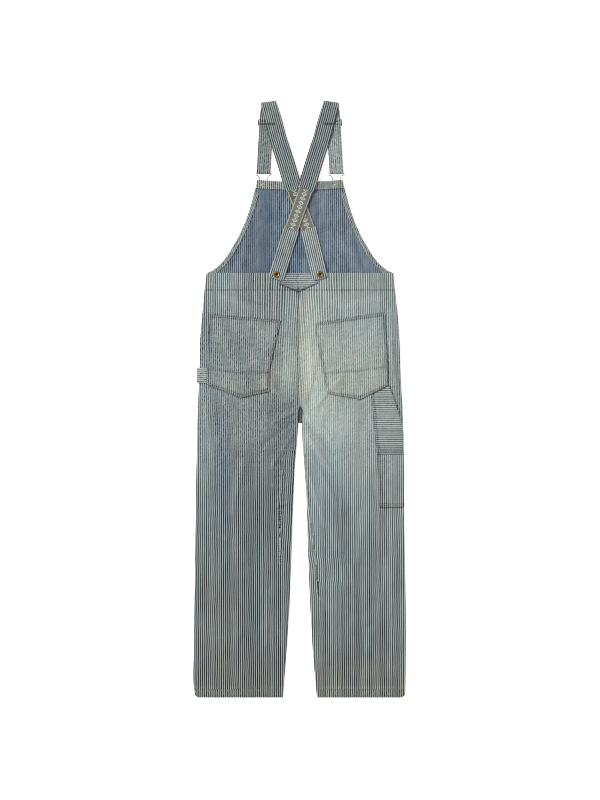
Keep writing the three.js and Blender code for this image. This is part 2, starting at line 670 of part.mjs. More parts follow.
const ELASTIC_LEAN = THREE.MathUtils.radToDeg(
  Math.atan2(ELASTIC_ENDS.top.x + ELASTIC_ENDS.bottom.x, ELASTIC_ENDS.top.y - ELASTIC_ENDS.bottom.y),
);

/** The elastic of the strap that ends on one shoulder; it starts on the other side below. */
function buildElastic(side, sign, over) {
  const { top, bottom } = ELASTIC_ENDS;
  const rest = linear(ELASTIC_HEIGHTS, 'y', 'rest');
  const stations = steps(0, 1, 12).map((share) => {
    const y = lerp(bottom.y, top.y, share);
    const height = rest(y) + ELASTIC / 2 + over * crossingLift(y);
    return { x: lerp(-bottom.x, top.x, share), y, height, width: ELASTIC_WIDTH, lean: ELASTIC_LEAN };
  });
  add(`elastic_${side}`, ribbon(stations, sign, ELASTIC), ELASTIC_WEB);
}

/** The cloth end from the elastic down to its button on the back waist, with the button's hole. */
function buildStrapEnd(side, sign, over) {
  const place = side === 'right' ? 'left' : 'right';
  const from = new THREE.Vector2(sign * STRAP_END_X[place], STRAP_END_Y);
  const to = new THREE.Vector2(-ELASTIC_ENDS.bottom.x - 0.1, ELASTIC_ENDS.bottom.y - GAP);
  const lean = THREE.MathUtils.radToDeg(Math.atan2(to.x - from.x, to.y - from.y));
  const rest = linear(STRAP_END_ROWS, 'share', 'rest');
  const width = linear(STRAP_END_ROWS, 'share', 'width');
  const shares = [0, 0.02, 0.05, 0.1, 0.16, 0.22, 0.27, 0.32, 0.38, 0.44, 0.6, 0.8, 1];
  const stations = shares.map((share) => {
    const y = lerp(from.y, to.y, share);
    const height = rest(share) + STRAP_CLOTH / 2 + over * crossingLift(y);
    const turn = lerp(lean, ELASTIC_LEAN, ramp(share, 0.6, 1));
    return { x: lerp(from.x, to.x, share), y, height, width: width(share), lean: turn };
  });
  const hole = new THREE.CylinderGeometry(BACK_BUTTON.neck + 0.4, BACK_BUTTON.neck + 0.4, 12, ROUND_SIDES);
  hole.rotateX(Math.PI / 2).translate(BACK_BUTTON.x[place], BACK_BUTTON.y, 6);
  add(`strap_end_${place}`, cutAway(ribbon(stations, sign, STRAP_CLOTH, 2), hole), STRAP_STRIPE);
}

// ================================================================ hardware
/** Turned piece from a profile of [radius, height] that starts and ends on the axis. */
function turned(profile, x, y) {
  const points = profile.map(([radius, height]) => new THREE.Vector2(radius, height));
  return new THREE.LatheGeometry(points, ROUND_SIDES).rotateX(Math.PI / 2).translate(x, y, 0);
}

/** Bib button, face down on the surface, with its neck up to the bib, and the tack above the hem. */
function buildBibButton(side, sign) {
  const { x, y, radius, cap, neck } = BIB_BUTTON;
  const neckTop = BIB_LIFT - GAP;
  const button = [
    [0, 0],
    [radius - 1.2, 0],
    [radius, 0.9],
    [radius, 2],
    [radius - 1.6, cap],
    [neck, cap],
    [neck, neckTop],
    [0, neckTop],
  ];
  add(`bib_button_${side}`, turned(button, sign * x, y), BRASS);
  const hemTop = BIB_LIFT + CLOTH * 2 + GAP * 2;
  const tack = [
    [0, hemTop],
    [4.6, hemTop],
    [5, hemTop + 0.3],
    [4.4, hemTop + 0.8],
    [2, hemTop + 0.5],
    [0, hemTop + 0.5],
  ];
  add(`bib_tack_${side}`, turned(tack, sign * x, y), BRASS);
}

/** Button of the back waist: its neck goes through the strap end's hole. */
function buildBackButton(side) {
  const { y, radius, cap, neck, x } = BACK_BUTTON;
  const foot = backTop(x[side], y) + GAP;
  const under = STRAP_END_ROWS[0].rest + STRAP_CLOTH + GAP;
  const profile = [
    [0, foot],
    [neck, foot],
    [neck, under],
    [radius - 1, under],
    [radius, under + 0.8],
    [radius - 0.3, under + 1.9],
    [radius - 1.4, under + cap],
    [radius - 2.4, under + cap - 0.6],
    [1.4, under + cap - 0.9],
    [0, under + cap - 1],
  ];
  add(`back_button_${side}`, turned(profile, x[side], y), BRASS);
}

/** Closed loop of round wire lying level, through plan points. */
function wireLoop(points, height) {
  const level = points.map(([x, y]) => new THREE.Vector3(x, y, height));
  const curve = new THREE.CatmullRomCurve3(level, true, 'centripetal');
  const middle = curve.getSpacedPoints(64).slice(0, -1);
  const sides = 10;
  const grid = middle.map((point, i) => {
    const next = middle[(i + 1) % middle.length];
    const last = middle[(i + middle.length - 1) % middle.length];
    const out = new THREE.Vector3(next.y - last.y, last.x - next.x, 0).normalize();
    return Array.from({ length: sides }, (_, j) => {
      const angle = (j / sides) * Math.PI * 2;
      const p = point.clone().addScaledVector(out, WIRE_RADIUS * Math.cos(angle));
      p.z += WIRE_RADIUS * Math.sin(angle);
      return p;
    });
  });
  const index = (i, j) => (i % grid.length) * sides + (j % sides);
  const quads = grid.flatMap((row, i) =>
    row.map((_, j) => [index(i, j), index(i, j + 1), index(i + 1, j + 1), index(i + 1, j)]),
  );
  return closedGeometry(grid.flat(), quads);
}

/** Wire clasp: a bar for the strap, shoulders, and a narrowing loop round the button's neck. */
function buildClasp(side, sign) {
  const half = [
    [9, 0],
    [18.6, 0],
    [20, -1.6],
    [19.6, -4.6],
    [14, -7.4],
    [10.6, -10.6],
    [10.3, -16],
    [9.6, -23],
    [5, -30.5],
    [4.2, -33.6],
    [2.6, -36.8],
  ];
  const local = [[0, 0], ...half, [0, -37.8], ...[...half].reverse().map(([x, y]) => [-x, y])];
  const points = local.map(([x, y]) => [sign * CLASP_AT.x + x, CLASP_AT.y + y]);
  add(`clasp_${side}`, wireLoop(points, CLASP_Z), STEEL);
}

function roundedRectangle(shape, width, height, radius) {
  const [x, y] = [width / 2, height / 2];
  shape.moveTo(-x + radius, -y);
  shape.lineTo(x - radius, -y);
  shape.absarc(x - radius, -y + radius, radius, -Math.PI / 2, 0, false);
  shape.lineTo(x, y - radius);
  shape.absarc(x - radius, y - radius, radius, 0, Math.PI / 2, false);
  shape.lineTo(-x + radius, y);
  shape.absarc(-x + radius, y - radius, radius, Math.PI / 2, Math.PI, false);
  shape.lineTo(-x, -y + radius);
  shape.absarc(-x + radius, -y + radius, radius, Math.PI, Math.PI * 1.5, false);
  return shape;
}

/** Three-bar slide: a flat stamped frame with two slots. */
function buildSlide(side, sign) {
  const height = SLIDE_PITCH * 2 + SLIDE.bar;
  const frame = roundedRectangle(new THREE.Shape(), SLIDE.width, height, SLIDE.corner);
  const slot = { width: SLIDE.width - SLIDE.rail * 2, height: SLIDE_PITCH - SLIDE.bar };
  for (const place of [-1, 1]) {
    const hole = new THREE.Path();
    const [x, y] = [slot.width / 2, slot.height / 2];
    const centre = (place * SLIDE_PITCH) / 2;
    hole.moveTo(-x, centre - y);
    hole.lineTo(-x, centre + y);
    hole.lineTo(x, centre + y);
    hole.lineTo(x, centre - y);
    hole.closePath();
    frame.holes.push(hole);
  }
  const options = { depth: SLIDE.thickness, bevelEnabled: false, curveSegments: 4 };
  const plate = new THREE.ExtrudeGeometry(frame, options);
  const mesh = add(`slide_${side}`, plate, DARK_STEEL);
  mesh.position.set(sign * SLIDE_AT.x, SLIDE_AT.y, SLIDE.bottom);
  mesh.rotation.z = -sign * radians(SLIDE_AT.lean);
}

// ================================================================ the garment
buildFronts();
buildBacks();
buildBib();
buildPatches();
buildToolPocket();
buildHammerLoop();
const SIDES = [
  { side: 'left', sign: -1, over: 0 },
  { side: 'right', sign: 1, over: 1 },
];
for (const { side, sign, over } of SIDES) {
  buildHem(side);
  buildBibSideHem(side, sign);
  buildUpperStrap(side, sign, over);
  buildElastic(side, sign, over);
  buildStrapEnd(side, sign, over);
  buildBibButton(side, sign);
  buildBackButton(side);
  buildClasp(side, sign);
  buildSlide(side, sign);
}

// The origin is the middle of the box's underside.
garment.updateMatrixWorld(true);
const box = new THREE.Box3().setFromObject(garment, true);
const middle = box.getCenter(new THREE.Vector3());
garment.position.set(-middle.x, -middle.y, -box.min.z);

export default garment;
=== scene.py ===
"""Striped bib dungarees laid flat on their front, back upwards, dressed for rendering.

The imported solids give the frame. Each cloth piece is a thin shell on the form of its solid, with the
stripes, wear, creases and stitching of a much washed pair. Tables are in millimetres on the garment's own
axes: +X to the wearer's right, +Y to the shoulders, +Z up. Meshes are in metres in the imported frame.
"""
import logging
import math
from dataclasses import dataclass, field
from enum import Enum
from typing import Callable, NamedTuple, Sequence

import bmesh
import bpy
import numpy as np
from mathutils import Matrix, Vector, noise


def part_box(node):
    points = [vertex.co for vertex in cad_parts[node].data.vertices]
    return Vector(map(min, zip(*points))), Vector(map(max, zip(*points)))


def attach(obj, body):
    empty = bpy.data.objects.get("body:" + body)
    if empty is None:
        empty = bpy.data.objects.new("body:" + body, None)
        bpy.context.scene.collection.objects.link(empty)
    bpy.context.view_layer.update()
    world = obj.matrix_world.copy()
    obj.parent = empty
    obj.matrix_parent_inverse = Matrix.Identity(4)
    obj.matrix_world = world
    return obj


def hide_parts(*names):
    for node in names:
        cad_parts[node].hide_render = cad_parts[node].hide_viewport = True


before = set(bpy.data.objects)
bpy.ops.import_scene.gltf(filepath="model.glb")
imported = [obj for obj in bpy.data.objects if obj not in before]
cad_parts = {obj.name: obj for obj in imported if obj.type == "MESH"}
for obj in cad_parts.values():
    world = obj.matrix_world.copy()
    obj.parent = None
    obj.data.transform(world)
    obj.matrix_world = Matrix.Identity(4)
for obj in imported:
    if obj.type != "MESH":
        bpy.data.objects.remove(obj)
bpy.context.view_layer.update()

LOG = logging.getLogger("dungarees")
MM = 0.001
Table = Sequence[tuple]
Array = np.ndarray
NodeSocket, NodeTree, Object = bpy.types.NodeSocket, bpy.types.NodeTree, bpy.types.Object

# Cloth and gaps, as in the solids.
CLOTH = 1.2
TRIM_CLOTH = 0.9
STRAP_CLOTH = 1.4
ELASTIC_CLOTH = 1.4
HEM_CLOTH = 1.9
GAP = 0.3
SEAM_GAP = 0.7
EDGE_SPACE = 2.0
SEAM_Z = CLOTH + EDGE_SPACE / 2
ROLL_REACH = 2.1

# Heights along the garment.
SHOULDER_Y = 771.0
BIB_TOP_Y = 564.5
WAIST_Y = 328.0
BIB_SEAM_Y = 296.0
WAIST_STITCH_Y = 283.0
CENTRE_SEAM_X = -4.5
CREASE_SHARPNESS = 0.35
BACK_CROTCH_Y = -16.0
FRONT_CROTCH_Y = -61.5
HEM_TOP_Y = -754.0
HEM_END_Y = -775.5

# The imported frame's origin against the garment's own, found from the right back button.
BACK_BUTTON = np.array([52.0, 324.0])
PLACE = np.append(
    np.mean([corner[:2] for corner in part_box("back_button_right")], axis=0) / MM - BACK_BUTTON, 0.0
)


class Side(Enum):
    """The wearer's side."""

    LEFT = "left"
    RIGHT = "right"

    @property
    def sign(self) -> int:
        """-1 on the left and 1 on the right."""
        return -1 if self is Side.LEFT else 1

    @property
    def other(self) -> "Side":
        """The opposite side."""
        return Side.RIGHT if self is Side.LEFT else Side.LEFT


# ---------------------------------------------------------------- numbers
def smooth(value: Array, start: float, end: float) -> Array:
    """Soft step of a value.

    Args:
        value: the numbers to grade.
        start: where the step is 0.
        end: where it is 1, above or below start.

    Returns:
        Numbers from 0 to 1.
    """
    t = np.clip((np.asarray(value, float) - start) / (end - start), 0.0, 1.0)
    return t * t * (3.0 - 2.0 * t)


def column(rows: Table, key: int, item: int) -> Callable[[Array], Array]:
    """Straight lines through one column of a table against another, which may fall or rise."""
    pairs = sorted((row[key], row[item]) for row in rows)
    keys, values = zip(*pairs)
    return lambda at: np.interp(at, keys, values)


def rounded_column(rows: Table, key: int, item: int) -> Callable[[Array], Array]:
    """Smooth curve through one column of a table against another."""
    pairs = sorted((row[key], row[item]) for row in rows)
    keys, values = (np.array(part, float) for part in zip(*pairs))
    slopes = np.gradient(values, keys)

    def curve(at: Array) -> Array:
        """The curve's value at each key."""
        at = np.clip(np.asarray(at, float), keys[0], keys[-1])
        i = np.clip(np.searchsorted(keys, at) - 1, 0, len(keys) - 2)
        span = keys[i + 1] - keys[i]
        t = (at - keys[i]) / span
        step = t * t * (3 - 2 * t)
        lead = t * (1 - t) ** 2 * slopes[i] * span
        trail = t * t * (t - 1) * slopes[i + 1] * span
        return values[i] * (1 - step) + values[i + 1] * step + lead + trail

    return curve


def cloud(x: Array, y: Array, size_x: float, size_y: float, layer: float) -> Array:
    """Even soft noise from -1 to 1 whose features have the given sizes in millimetres."""
    x, y = np.broadcast_arrays(x, y)
    found = [noise.noise(Vector((a / size_x, b / size_y, layer))) for a, b in zip(x.ravel(), y.ravel())]
    return np.array(found).reshape(x.shape)


def steps(start: float, end: float, pitch: float) -> Array:
    """Even steps from start to end, both included, about pitch apart."""
    return np.linspace(start, end, max(2, math.ceil(abs(end - start) / pitch) + 1))


def run_along(points: Array, axis: int = 0) -> Array:
    """Distance along each line of points, from 0, down the rows or, where axis is 1, over the columns."""
    lengths = np.linalg.norm(np.diff(points, axis=axis), axis=-1)
    return np.insert(np.cumsum(lengths, axis=axis), 0, 0.0, axis=axis)


def refined(grid: Array, down: Array, over: Array) -> Array:
    """Straight-line resampling of a grid of points.

    Args:
        grid: rows x columns x n numbers.
        down: the row positions wanted, in rows of the grid.
        over: the column positions wanted, in columns of the grid.

    Returns:
        len(down) x len(over) x n numbers.
    """
    i = np.clip(down.astype(int), 0, grid.shape[0] - 2)
    j = np.clip(over.astype(int), 0, grid.shape[1] - 2)
    s, t = (down - i)[:, None, None], (over - j)[None, :, None]
    top = grid[i][:, j] * (1 - t) + grid[i][:, j + 1] * t
    low = grid[i + 1][:, j] * (1 - t) + grid[i + 1][:, j + 1] * t
    return top * (1 - s) + low * s


# ---------------------------------------------------------------- finishes
def linear_rgba(srgb: str) -> tuple[float, float, float, float]:
    """Linear colour of an sRGB hex value such as "#8a9290"."""
    parts = [int(srgb[i : i + 2], 16) / 255 for i in (1, 3, 5)]
    red, green, blue = (c / 12.92 if c <= 0.04045 else ((c + 0.055) / 1.055) ** 2.4 for c in parts)
    return (red, green, blue, 1.0)


def wire(tree: NodeTree, node: bpy.types.Node, inputs: dict) -> None:
    """Links an output socket, or sets a value, on each named or numbered input of a node."""
    for socket, value in inputs.items():
        if isinstance(value, NodeSocket):
            tree.links.new(value, node.inputs[socket])
        else:
            node.inputs[socket].default_value = value


def put(
    tree: NodeTree, kind: str, inputs: dict | None = None, **settings: object
) -> bpy.types.Node:
    """Adds a node with its settings and links.

    Args:
        tree: the node tree.
        kind: the node type's name.
        inputs: a value or an output socket for each input, by name or number.
        settings: the node's own properties.

    Returns:
        The new node.
    """
    node = tree.nodes.new(kind)
    for name, value in settings.items():
        setattr(node, name, value)
    wire(tree, node, inputs or {})
    return node


def calc(tree: NodeTree, operation: str, *values: object) -> NodeSocket:
    """Output of a Math node on numbers or sockets."""
    return put(tree, "ShaderNodeMath", dict(enumerate(values)), operation=operation).outputs[0]


def blend(
    tree: NodeTree, share: object, a: object, b: object, how: str = "MIX"
) -> NodeSocket:
    """Output of a colour Mix node of a and b; hex strings are taken as sRGB."""
    a, b = (linear_rgba(c) if isinstance(c, str) else c for c in (a, b))
    node = put(tree, "ShaderNodeMix", {0: share, 6: a, 7: b}, data_type="RGBA", blend_type=how)
    return node.outputs[2]


def ramped(
    tree: NodeTree, value: object, low: float, high: float, to: tuple = (0.0, 1.0)
) -> object:
    """Output of a smooth Map Range node from low and high to the two numbers of to."""
    inputs = {"Value": value, "From Min": low, "From Max": high, "To Min": to[0], "To Max": to[1]}
    node = put(tree, "ShaderNodeMapRange", inputs, interpolation_type="SMOOTHSTEP")
    return node.outputs[0]


def speckle(
    tree: NodeTree, at: Sequence, rates: tuple, detail: float = 2.0
) -> NodeSocket:
    """Noise from 0 to 1 over the cloth's places, with those rates of features per metre across and along."""
    scaled = {i: calc(tree, "MULTIPLY", place, rate) for i, (place, rate) in enumerate(zip(at, rates))}
    vector = put(tree, "ShaderNodeCombineXYZ", scaled).outputs[0]
    inputs = {"Vector": vector, "Scale": 1.0, "Detail": detail, "Roughness": 0.6}
    return put(tree, "ShaderNodeTexNoise", inputs).outputs["Fac"]


def bumped(
    tree: NodeTree, height: NodeSocket, strength: float, distance: float
) -> object:
    """Normal of a surface with a fine relief of that height."""
    inputs = {"Strength": strength, "Distance": distance, "Height": height}
    return put(tree, "ShaderNodeBump", inputs).outputs[0]


def new_material(name: str) -> tuple[bpy.types.Material, NodeTree, bpy.types.Node]:
    """A material of that name with its node tree and its shader."""
    material = bpy.data.materials.new(name)
    material.use_nodes = True
    tree = material.node_tree
    return material, tree, tree.nodes["Principled BSDF"]


@dataclass(frozen=True)
class Finish:
    """A finish of the garment, with its material made once."""

    name: str

    def material(self) -> bpy.types.Material:
        """The finish as a material."""
        if self.name not in bpy.data.materials:
            _, tree, shader = new_material(self.name)
            self.shade(tree, shader)
        return bpy.data.materials[self.name]


@dataclass(frozen=True)
class StripedTwill(Finish):
    """Yarn-dyed striped cotton twill, stone washed: quite matt, the dark stripes rubbed towards the light
    ones, uneven from yarn to yarn, with a fine diagonal rib and a crumpled, slightly furry surface."""

    slot: str
    dark: str
    light: str
    dark_worn: str
    light_worn: str
    pitch: float = 5.5
    dark_share: float = 0.6
    streaks: float = 0.34
    yarns: float = 0.38
    seat_haze: float = 0.0

    def shade(self, tree: NodeTree, shader: bpy.types.Node) -> None:
        """Adds the finish's nodes."""
        grain = put(tree, "ShaderNodeUVMap", uv_map="grain").outputs[0]
        across, along = at = put(tree, "ShaderNodeSeparateXYZ", {0: grain}).outputs[:2]
        # The stripes wander by a third of a millimetre, as the loom and the wash leave them.
        wander = speckle(tree, at, (35, 22))
        shifted = calc(tree, "MULTIPLY_ADD", wander, 0.0008, across)
        count = calc(tree, "DIVIDE", shifted, self.pitch * MM)
        place = calc(tree, "PINGPONG", count, 0.5)
        edge = 0.5 * self.dark_share
        stripe = ramped(tree, place, edge + 0.05, edge - 0.05)
        # Between the knee and the waist the stripes have washed together and their yarns have evened out.
        haze_here = ramped(tree, along, -0.30, -0.05, (0.0, self.seat_haze))
        haze_here = calc(tree, "MULTIPLY", haze_here, ramped(tree, along, 0.12, 0.30, (1.0, 0.35)))
        slanted = calc(tree, "MULTIPLY_ADD", along, 0.4, across)
        chatter = speckle(tree, (slanted, along), (290, 120), 1.0)
        washed = calc(tree, "MULTIPLY", haze_here, ramped(tree, chatter, 0.32, 0.68, (0.0, 2.3)))
        stripe = calc(
            tree, "ADD", stripe, calc(tree, "MULTIPLY", calc(tree, "SUBTRACT", 0.5, stripe), washed)
        )
        number = calc(tree, "FLOOR", calc(tree, "ADD", count, 0.5))
        yarn = put(tree, "ShaderNodeTexWhiteNoise", {"W": number}, noise_dimensions="1D").outputs[0]
        long_streak = speckle(tree, at, (190, 9))
        haze = speckle(tree, at, (24, 11), 4.0)
        slub = speckle(tree, at, (900, 420))
        wear_and_shade = put(tree, "ShaderNodeAttribute", attribute_name="wear_and_shade").outputs["Fac"]
        tint = put(tree, "ShaderNodeAttribute", attribute_name="tint").outputs["Fac"]
        yarns = calc(tree, "MULTIPLY_ADD", haze_here, -0.8, self.yarns)
        wear_and_shade_here = wear_and_shade
        for source, amount in ((long_streak, self.streaks), (haze, 0.36), (yarn, yarns), (slub, 0.24)):
            swing = calc(tree, "MULTIPLY", calc(tree, "SUBTRACT", source, 0.5), amount)
            wear_and_shade_here = calc(tree, "ADD", wear_and_shade_here, swing)
        # Clamped, this keeps the rubbing together with the painted highlight and shade of creases and
        # patches.
        rubbed = put(tree, "ShaderNodeClamp", {0: wear_and_shade_here}).outputs[0]
        dark = blend(tree, rubbed, self.dark, self.dark_worn)
        light = blend(tree, rubbed, self.light, self.light_worn)
        cloth = blend(tree, stripe, light, dark)
        # Below 0 the attribute darkens the cloth: partly indigo kept in stitched seams, partly painted shade
        # in those seams, along edges laid on the cloth, between the legs and where the straps bend over their
        # slides.
        groove = ramped(tree, wear_and_shade, -0.8, 0.0, (0.22, 1.0))
        cloth = blend(tree, 1.0, cloth, groove, "MULTIPLY")
        warm = ramped(tree, tint, -1.0, 1.0)
        cloth = blend(tree, 1.0, cloth, blend(tree, warm, "#fffaf0", "#f0f8ff"), "MULTIPLY")
        # The wash leaves some stretches a little grey and others a little green.
        cast = speckle(tree, at, (31, 14))
        cloth = blend(
            tree, 1.0, cloth, blend(tree, ramped(tree, cast, 0.3, 0.7), "#fbf8f8", "#f3f9fa"), "MULTIPLY"
        )
        # The rib's real pitch is 0.6 mm; it is drawn at 1.3 mm so that it shows.
        slope = calc(tree, "MULTIPLY_ADD", along, 0.6, across)
        rib = calc(tree, "SINE", calc(tree, "MULTIPLY", slope, 2 * math.pi / 0.0013))
        lift = calc(tree, "MULTIPLY_ADD", rib, 0.06, 0.97)
        cloth = blend(tree, 1.0, cloth, lift, "MULTIPLY")
        crumple = speckle(tree, at, (150, 110), 3.0)
        relief = calc(tree, "MULTIPLY", crumple, 0.0013)
        relief = calc(tree, "MULTIPLY_ADD", slub, 0.00025, relief)
        relief = calc(tree, "MULTIPLY_ADD", rib, 0.00005, relief)
        wire(tree, shader, {
            "Base Color": cloth,
            "Roughness": ramped(tree, slub, 0.2, 0.8, (0.86, 0.97)),
            "Normal": bumped(tree, relief, 0.55, 1.0),
            "IOR": 1.46,
            "Specular IOR Level": 0.25,
            "Sheen Weight": 0.12,
            "Sheen Roughness": 0.5,
        })


@dataclass(frozen=True)
class WovenElastic(Finish):
    """Covered-rubber webbing: fine ribs across, a soft dull gleam, pale edge cords and a woven row of
    plain lozenges down the middle."""

    slot: str
    ground: str
    ground_painted_shade: str
    cord: str
    mark: str
    half_width: float = 18.0
    mark_pitch: float = 12.0

    def shade(self, tree: NodeTree, shader: bpy.types.Node) -> None:
        """Adds the finish's nodes."""
        grain = put(tree, "ShaderNodeUVMap", uv_map="grain").outputs[0]
        across, along = at = put(tree, "ShaderNodeSeparateXYZ", {0: grain}).outputs[:2]
        away = calc(tree, "ABSOLUTE", across)
        slub = speckle(tree, at, (800, 500))
        grime = speckle(tree, at, (60, 40), 3.0)
        wear_and_shade = put(tree, "ShaderNodeAttribute", attribute_name="wear_and_shade").outputs["Fac"]
        # The ground runs from a darker copy of its colour, a painted shade, at low values to its own colour
        # at high ones; the grime noise mottles it at random between the two.
        cloth = blend(
            tree,
            calc(tree, "ADD", wear_and_shade, calc(tree, "MULTIPLY_ADD", grime, 0.5, -0.25)),
            self.ground_painted_shade,
            self.ground,
        )
        # One lozenge is a ring of even width in across + along distance from its centre.
        turn = calc(tree, "PINGPONG", calc(tree, "DIVIDE", along, self.mark_pitch * MM), 0.5)
        reach = calc(tree, "ADD", calc(tree, "DIVIDE", away, 0.0115), calc(tree, "MULTIPLY", turn, 1.5))
        ring = calc(tree, "ABSOLUTE", calc(tree, "SUBTRACT", reach, 0.56))
        mark = ramped(tree, ring, 0.17, 0.11)
        dot = ramped(tree, reach, 0.22, 0.14)
        shown = calc(
            tree, "MULTIPLY", calc(tree, "MAXIMUM", mark, dot), ramped(tree, slub, 0.25, 0.5, (0.6, 1.0))
        )
        cloth = blend(tree, shown, cloth, self.mark)
        cord = ramped(
            tree,
            calc(tree, "ABSOLUTE", calc(tree, "SUBTRACT", away, (self.half_width - 1.9) * MM)),
            0.0015,
            0.0009,
        )
        cloth = blend(tree, cord, cloth, self.cord)
        # Ribs are 1.6 mm apart, about twice the real spacing, so that they show. Between them the colour is
        # darker, a painted shade of the ribs, as well as their bump.
        rib = calc(tree, "SINE", calc(tree, "MULTIPLY", along, 2 * math.pi / 0.0016))
        lift = calc(tree, "MULTIPLY_ADD", rib, 0.08, 0.94)
        cloth = blend(tree, 1.0, cloth, lift, "MULTIPLY")
        relief = calc(tree, "MULTIPLY_ADD", rib, 0.00018, calc(tree, "MULTIPLY", slub, 0.0004))
        rough, normal = ramped(tree, slub, 0.2, 0.8, (0.6, 0.85)), bumped(tree, relief, 0.6, 1.0)
        wire(tree, shader, {"Base Color": cloth, "Roughness": rough, "Normal": normal, "IOR": 1.5})


@dataclass(frozen=True)
class CottonThread(Finish):
    """Thick spun cotton sewing thread: matt, twisted, its colour a little uneven from the wash."""

    colour: str
    faded: str

    def shade(self, tree: NodeTree, shader: bpy.types.Node) -> None:
        """Adds the finish's nodes."""
        at = put(tree, "ShaderNodeTexCoord").outputs["Object"]
        uneven = put(tree, "ShaderNodeTexNoise", {"Vector": at, "Scale": 90.0, "Detail": 2.0}).outputs["Fac"]
        twist = put(tree, "ShaderNodeTexNoise", {"Vector": at, "Scale": 2600.0, "Detail": 1.0}).outputs["Fac"]
        colour = blend(tree, ramped(tree, uneven, 0.35, 0.65), self.colour, self.faded)
        normal = bumped(tree, twist, 0.4, 0.0003)
        wire(tree, shader, {"Base Color": colour, "Roughness": 0.85, "Normal": normal})


@dataclass(frozen=True)
class WornMetal(Finish):
    """A plated or brushed metal, bright where it is rubbed, dull in its hollows and finely scratched."""

    slot: str
    bright: str
    dull: str
    roughness: tuple[float, float]
    grain: float = 900.0

    def shade(self, tree: NodeTree, shader: bpy.types.Node) -> None:
        """Adds the finish's nodes."""
        at = put(tree, "ShaderNodeTexCoord").outputs["Object"]
        patches = put(tree, "ShaderNodeTexNoise", {"Vector": at, "Scale": 260.0, "Detail": 3.0}).outputs[
            "Fac"
        ]
        scratch = put(tree, "ShaderNodeTexNoise", {"Vector": at, "Scale": self.grain, "Detail": 2.0}).outputs[
            "Fac"
        ]
        hollow = put(tree, "ShaderNodeAttribute", attribute_name="hollow").outputs["Fac"]
        tarnish = calc(tree, "ADD", hollow, calc(tree, "MULTIPLY_ADD", patches, 0.9, -0.4))
        tarnish = put(tree, "ShaderNodeClamp", {0: tarnish}).outputs[0]
        colour, rough = blend(tree, tarnish, self.bright, self.dull), ramped(
            tree, tarnish, 0.0, 1.0, self.roughness
        )
        normal = bumped(tree, scratch, 0.25, 0.0002)
        wire(tree, shader, {"Base Color": colour, "Roughness": rough, "Normal": normal, "Metallic": 1.0})


FADED_TWILL = StripedTwill(
    "faded_striped_twill", "denim_faded", "#1a1f23", "#a1a7a8", "#88918d", "#d4d8cf", seat_haze=0.33
)
TRIM_TWILL = StripedTwill(
    "strap_striped_twill",
    "denim_trim", "#14191e", "#9ca3a5", "#5f686b", "#d2d6d2", 5.25, yarns=0.25, seat_haze=0.45,
)
INSIDE_TWILL = StripedTwill(
    "inside_striped_twill",
    "denim_inside", "#17202a", "#7c8895", "#59646f", "#adb7be", 5.3, streaks=0.5, yarns=0.3, seat_haze=0.6,
)
WEBBING = WovenElastic("woven_elastic", "elastic_web", "#63696b", "#403e38", "#a0956a", "#b9b59d")
PALE_THREAD = CottonThread("pale_cotton_thread", "#8d938b", "#b4b7aa")
HEM_THREAD = CottonThread("straw_cotton_thread", "#bab079", "#d9d2a2")
DARK_THREAD = CottonThread("indigo_cotton_thread", "#23292e", "#4b5459")
BRASS = WornMetal("aged_brass", "brass", "#937848", "#352b1b", (0.4, 0.7))
TIN = WornMetal("dull_tinned_brass", "brass", "#b3ac9a", "#7f796a", (0.5, 0.75))
NICKEL = WornMetal("worn_nickel_wire", "steel", "#9a9485", "#5a5347", (0.34, 0.6))
DARK_STEEL = WornMetal("blackened_steel", "dark_steel", "#2b2926", "#1b1a18", (0.45, 0.65))


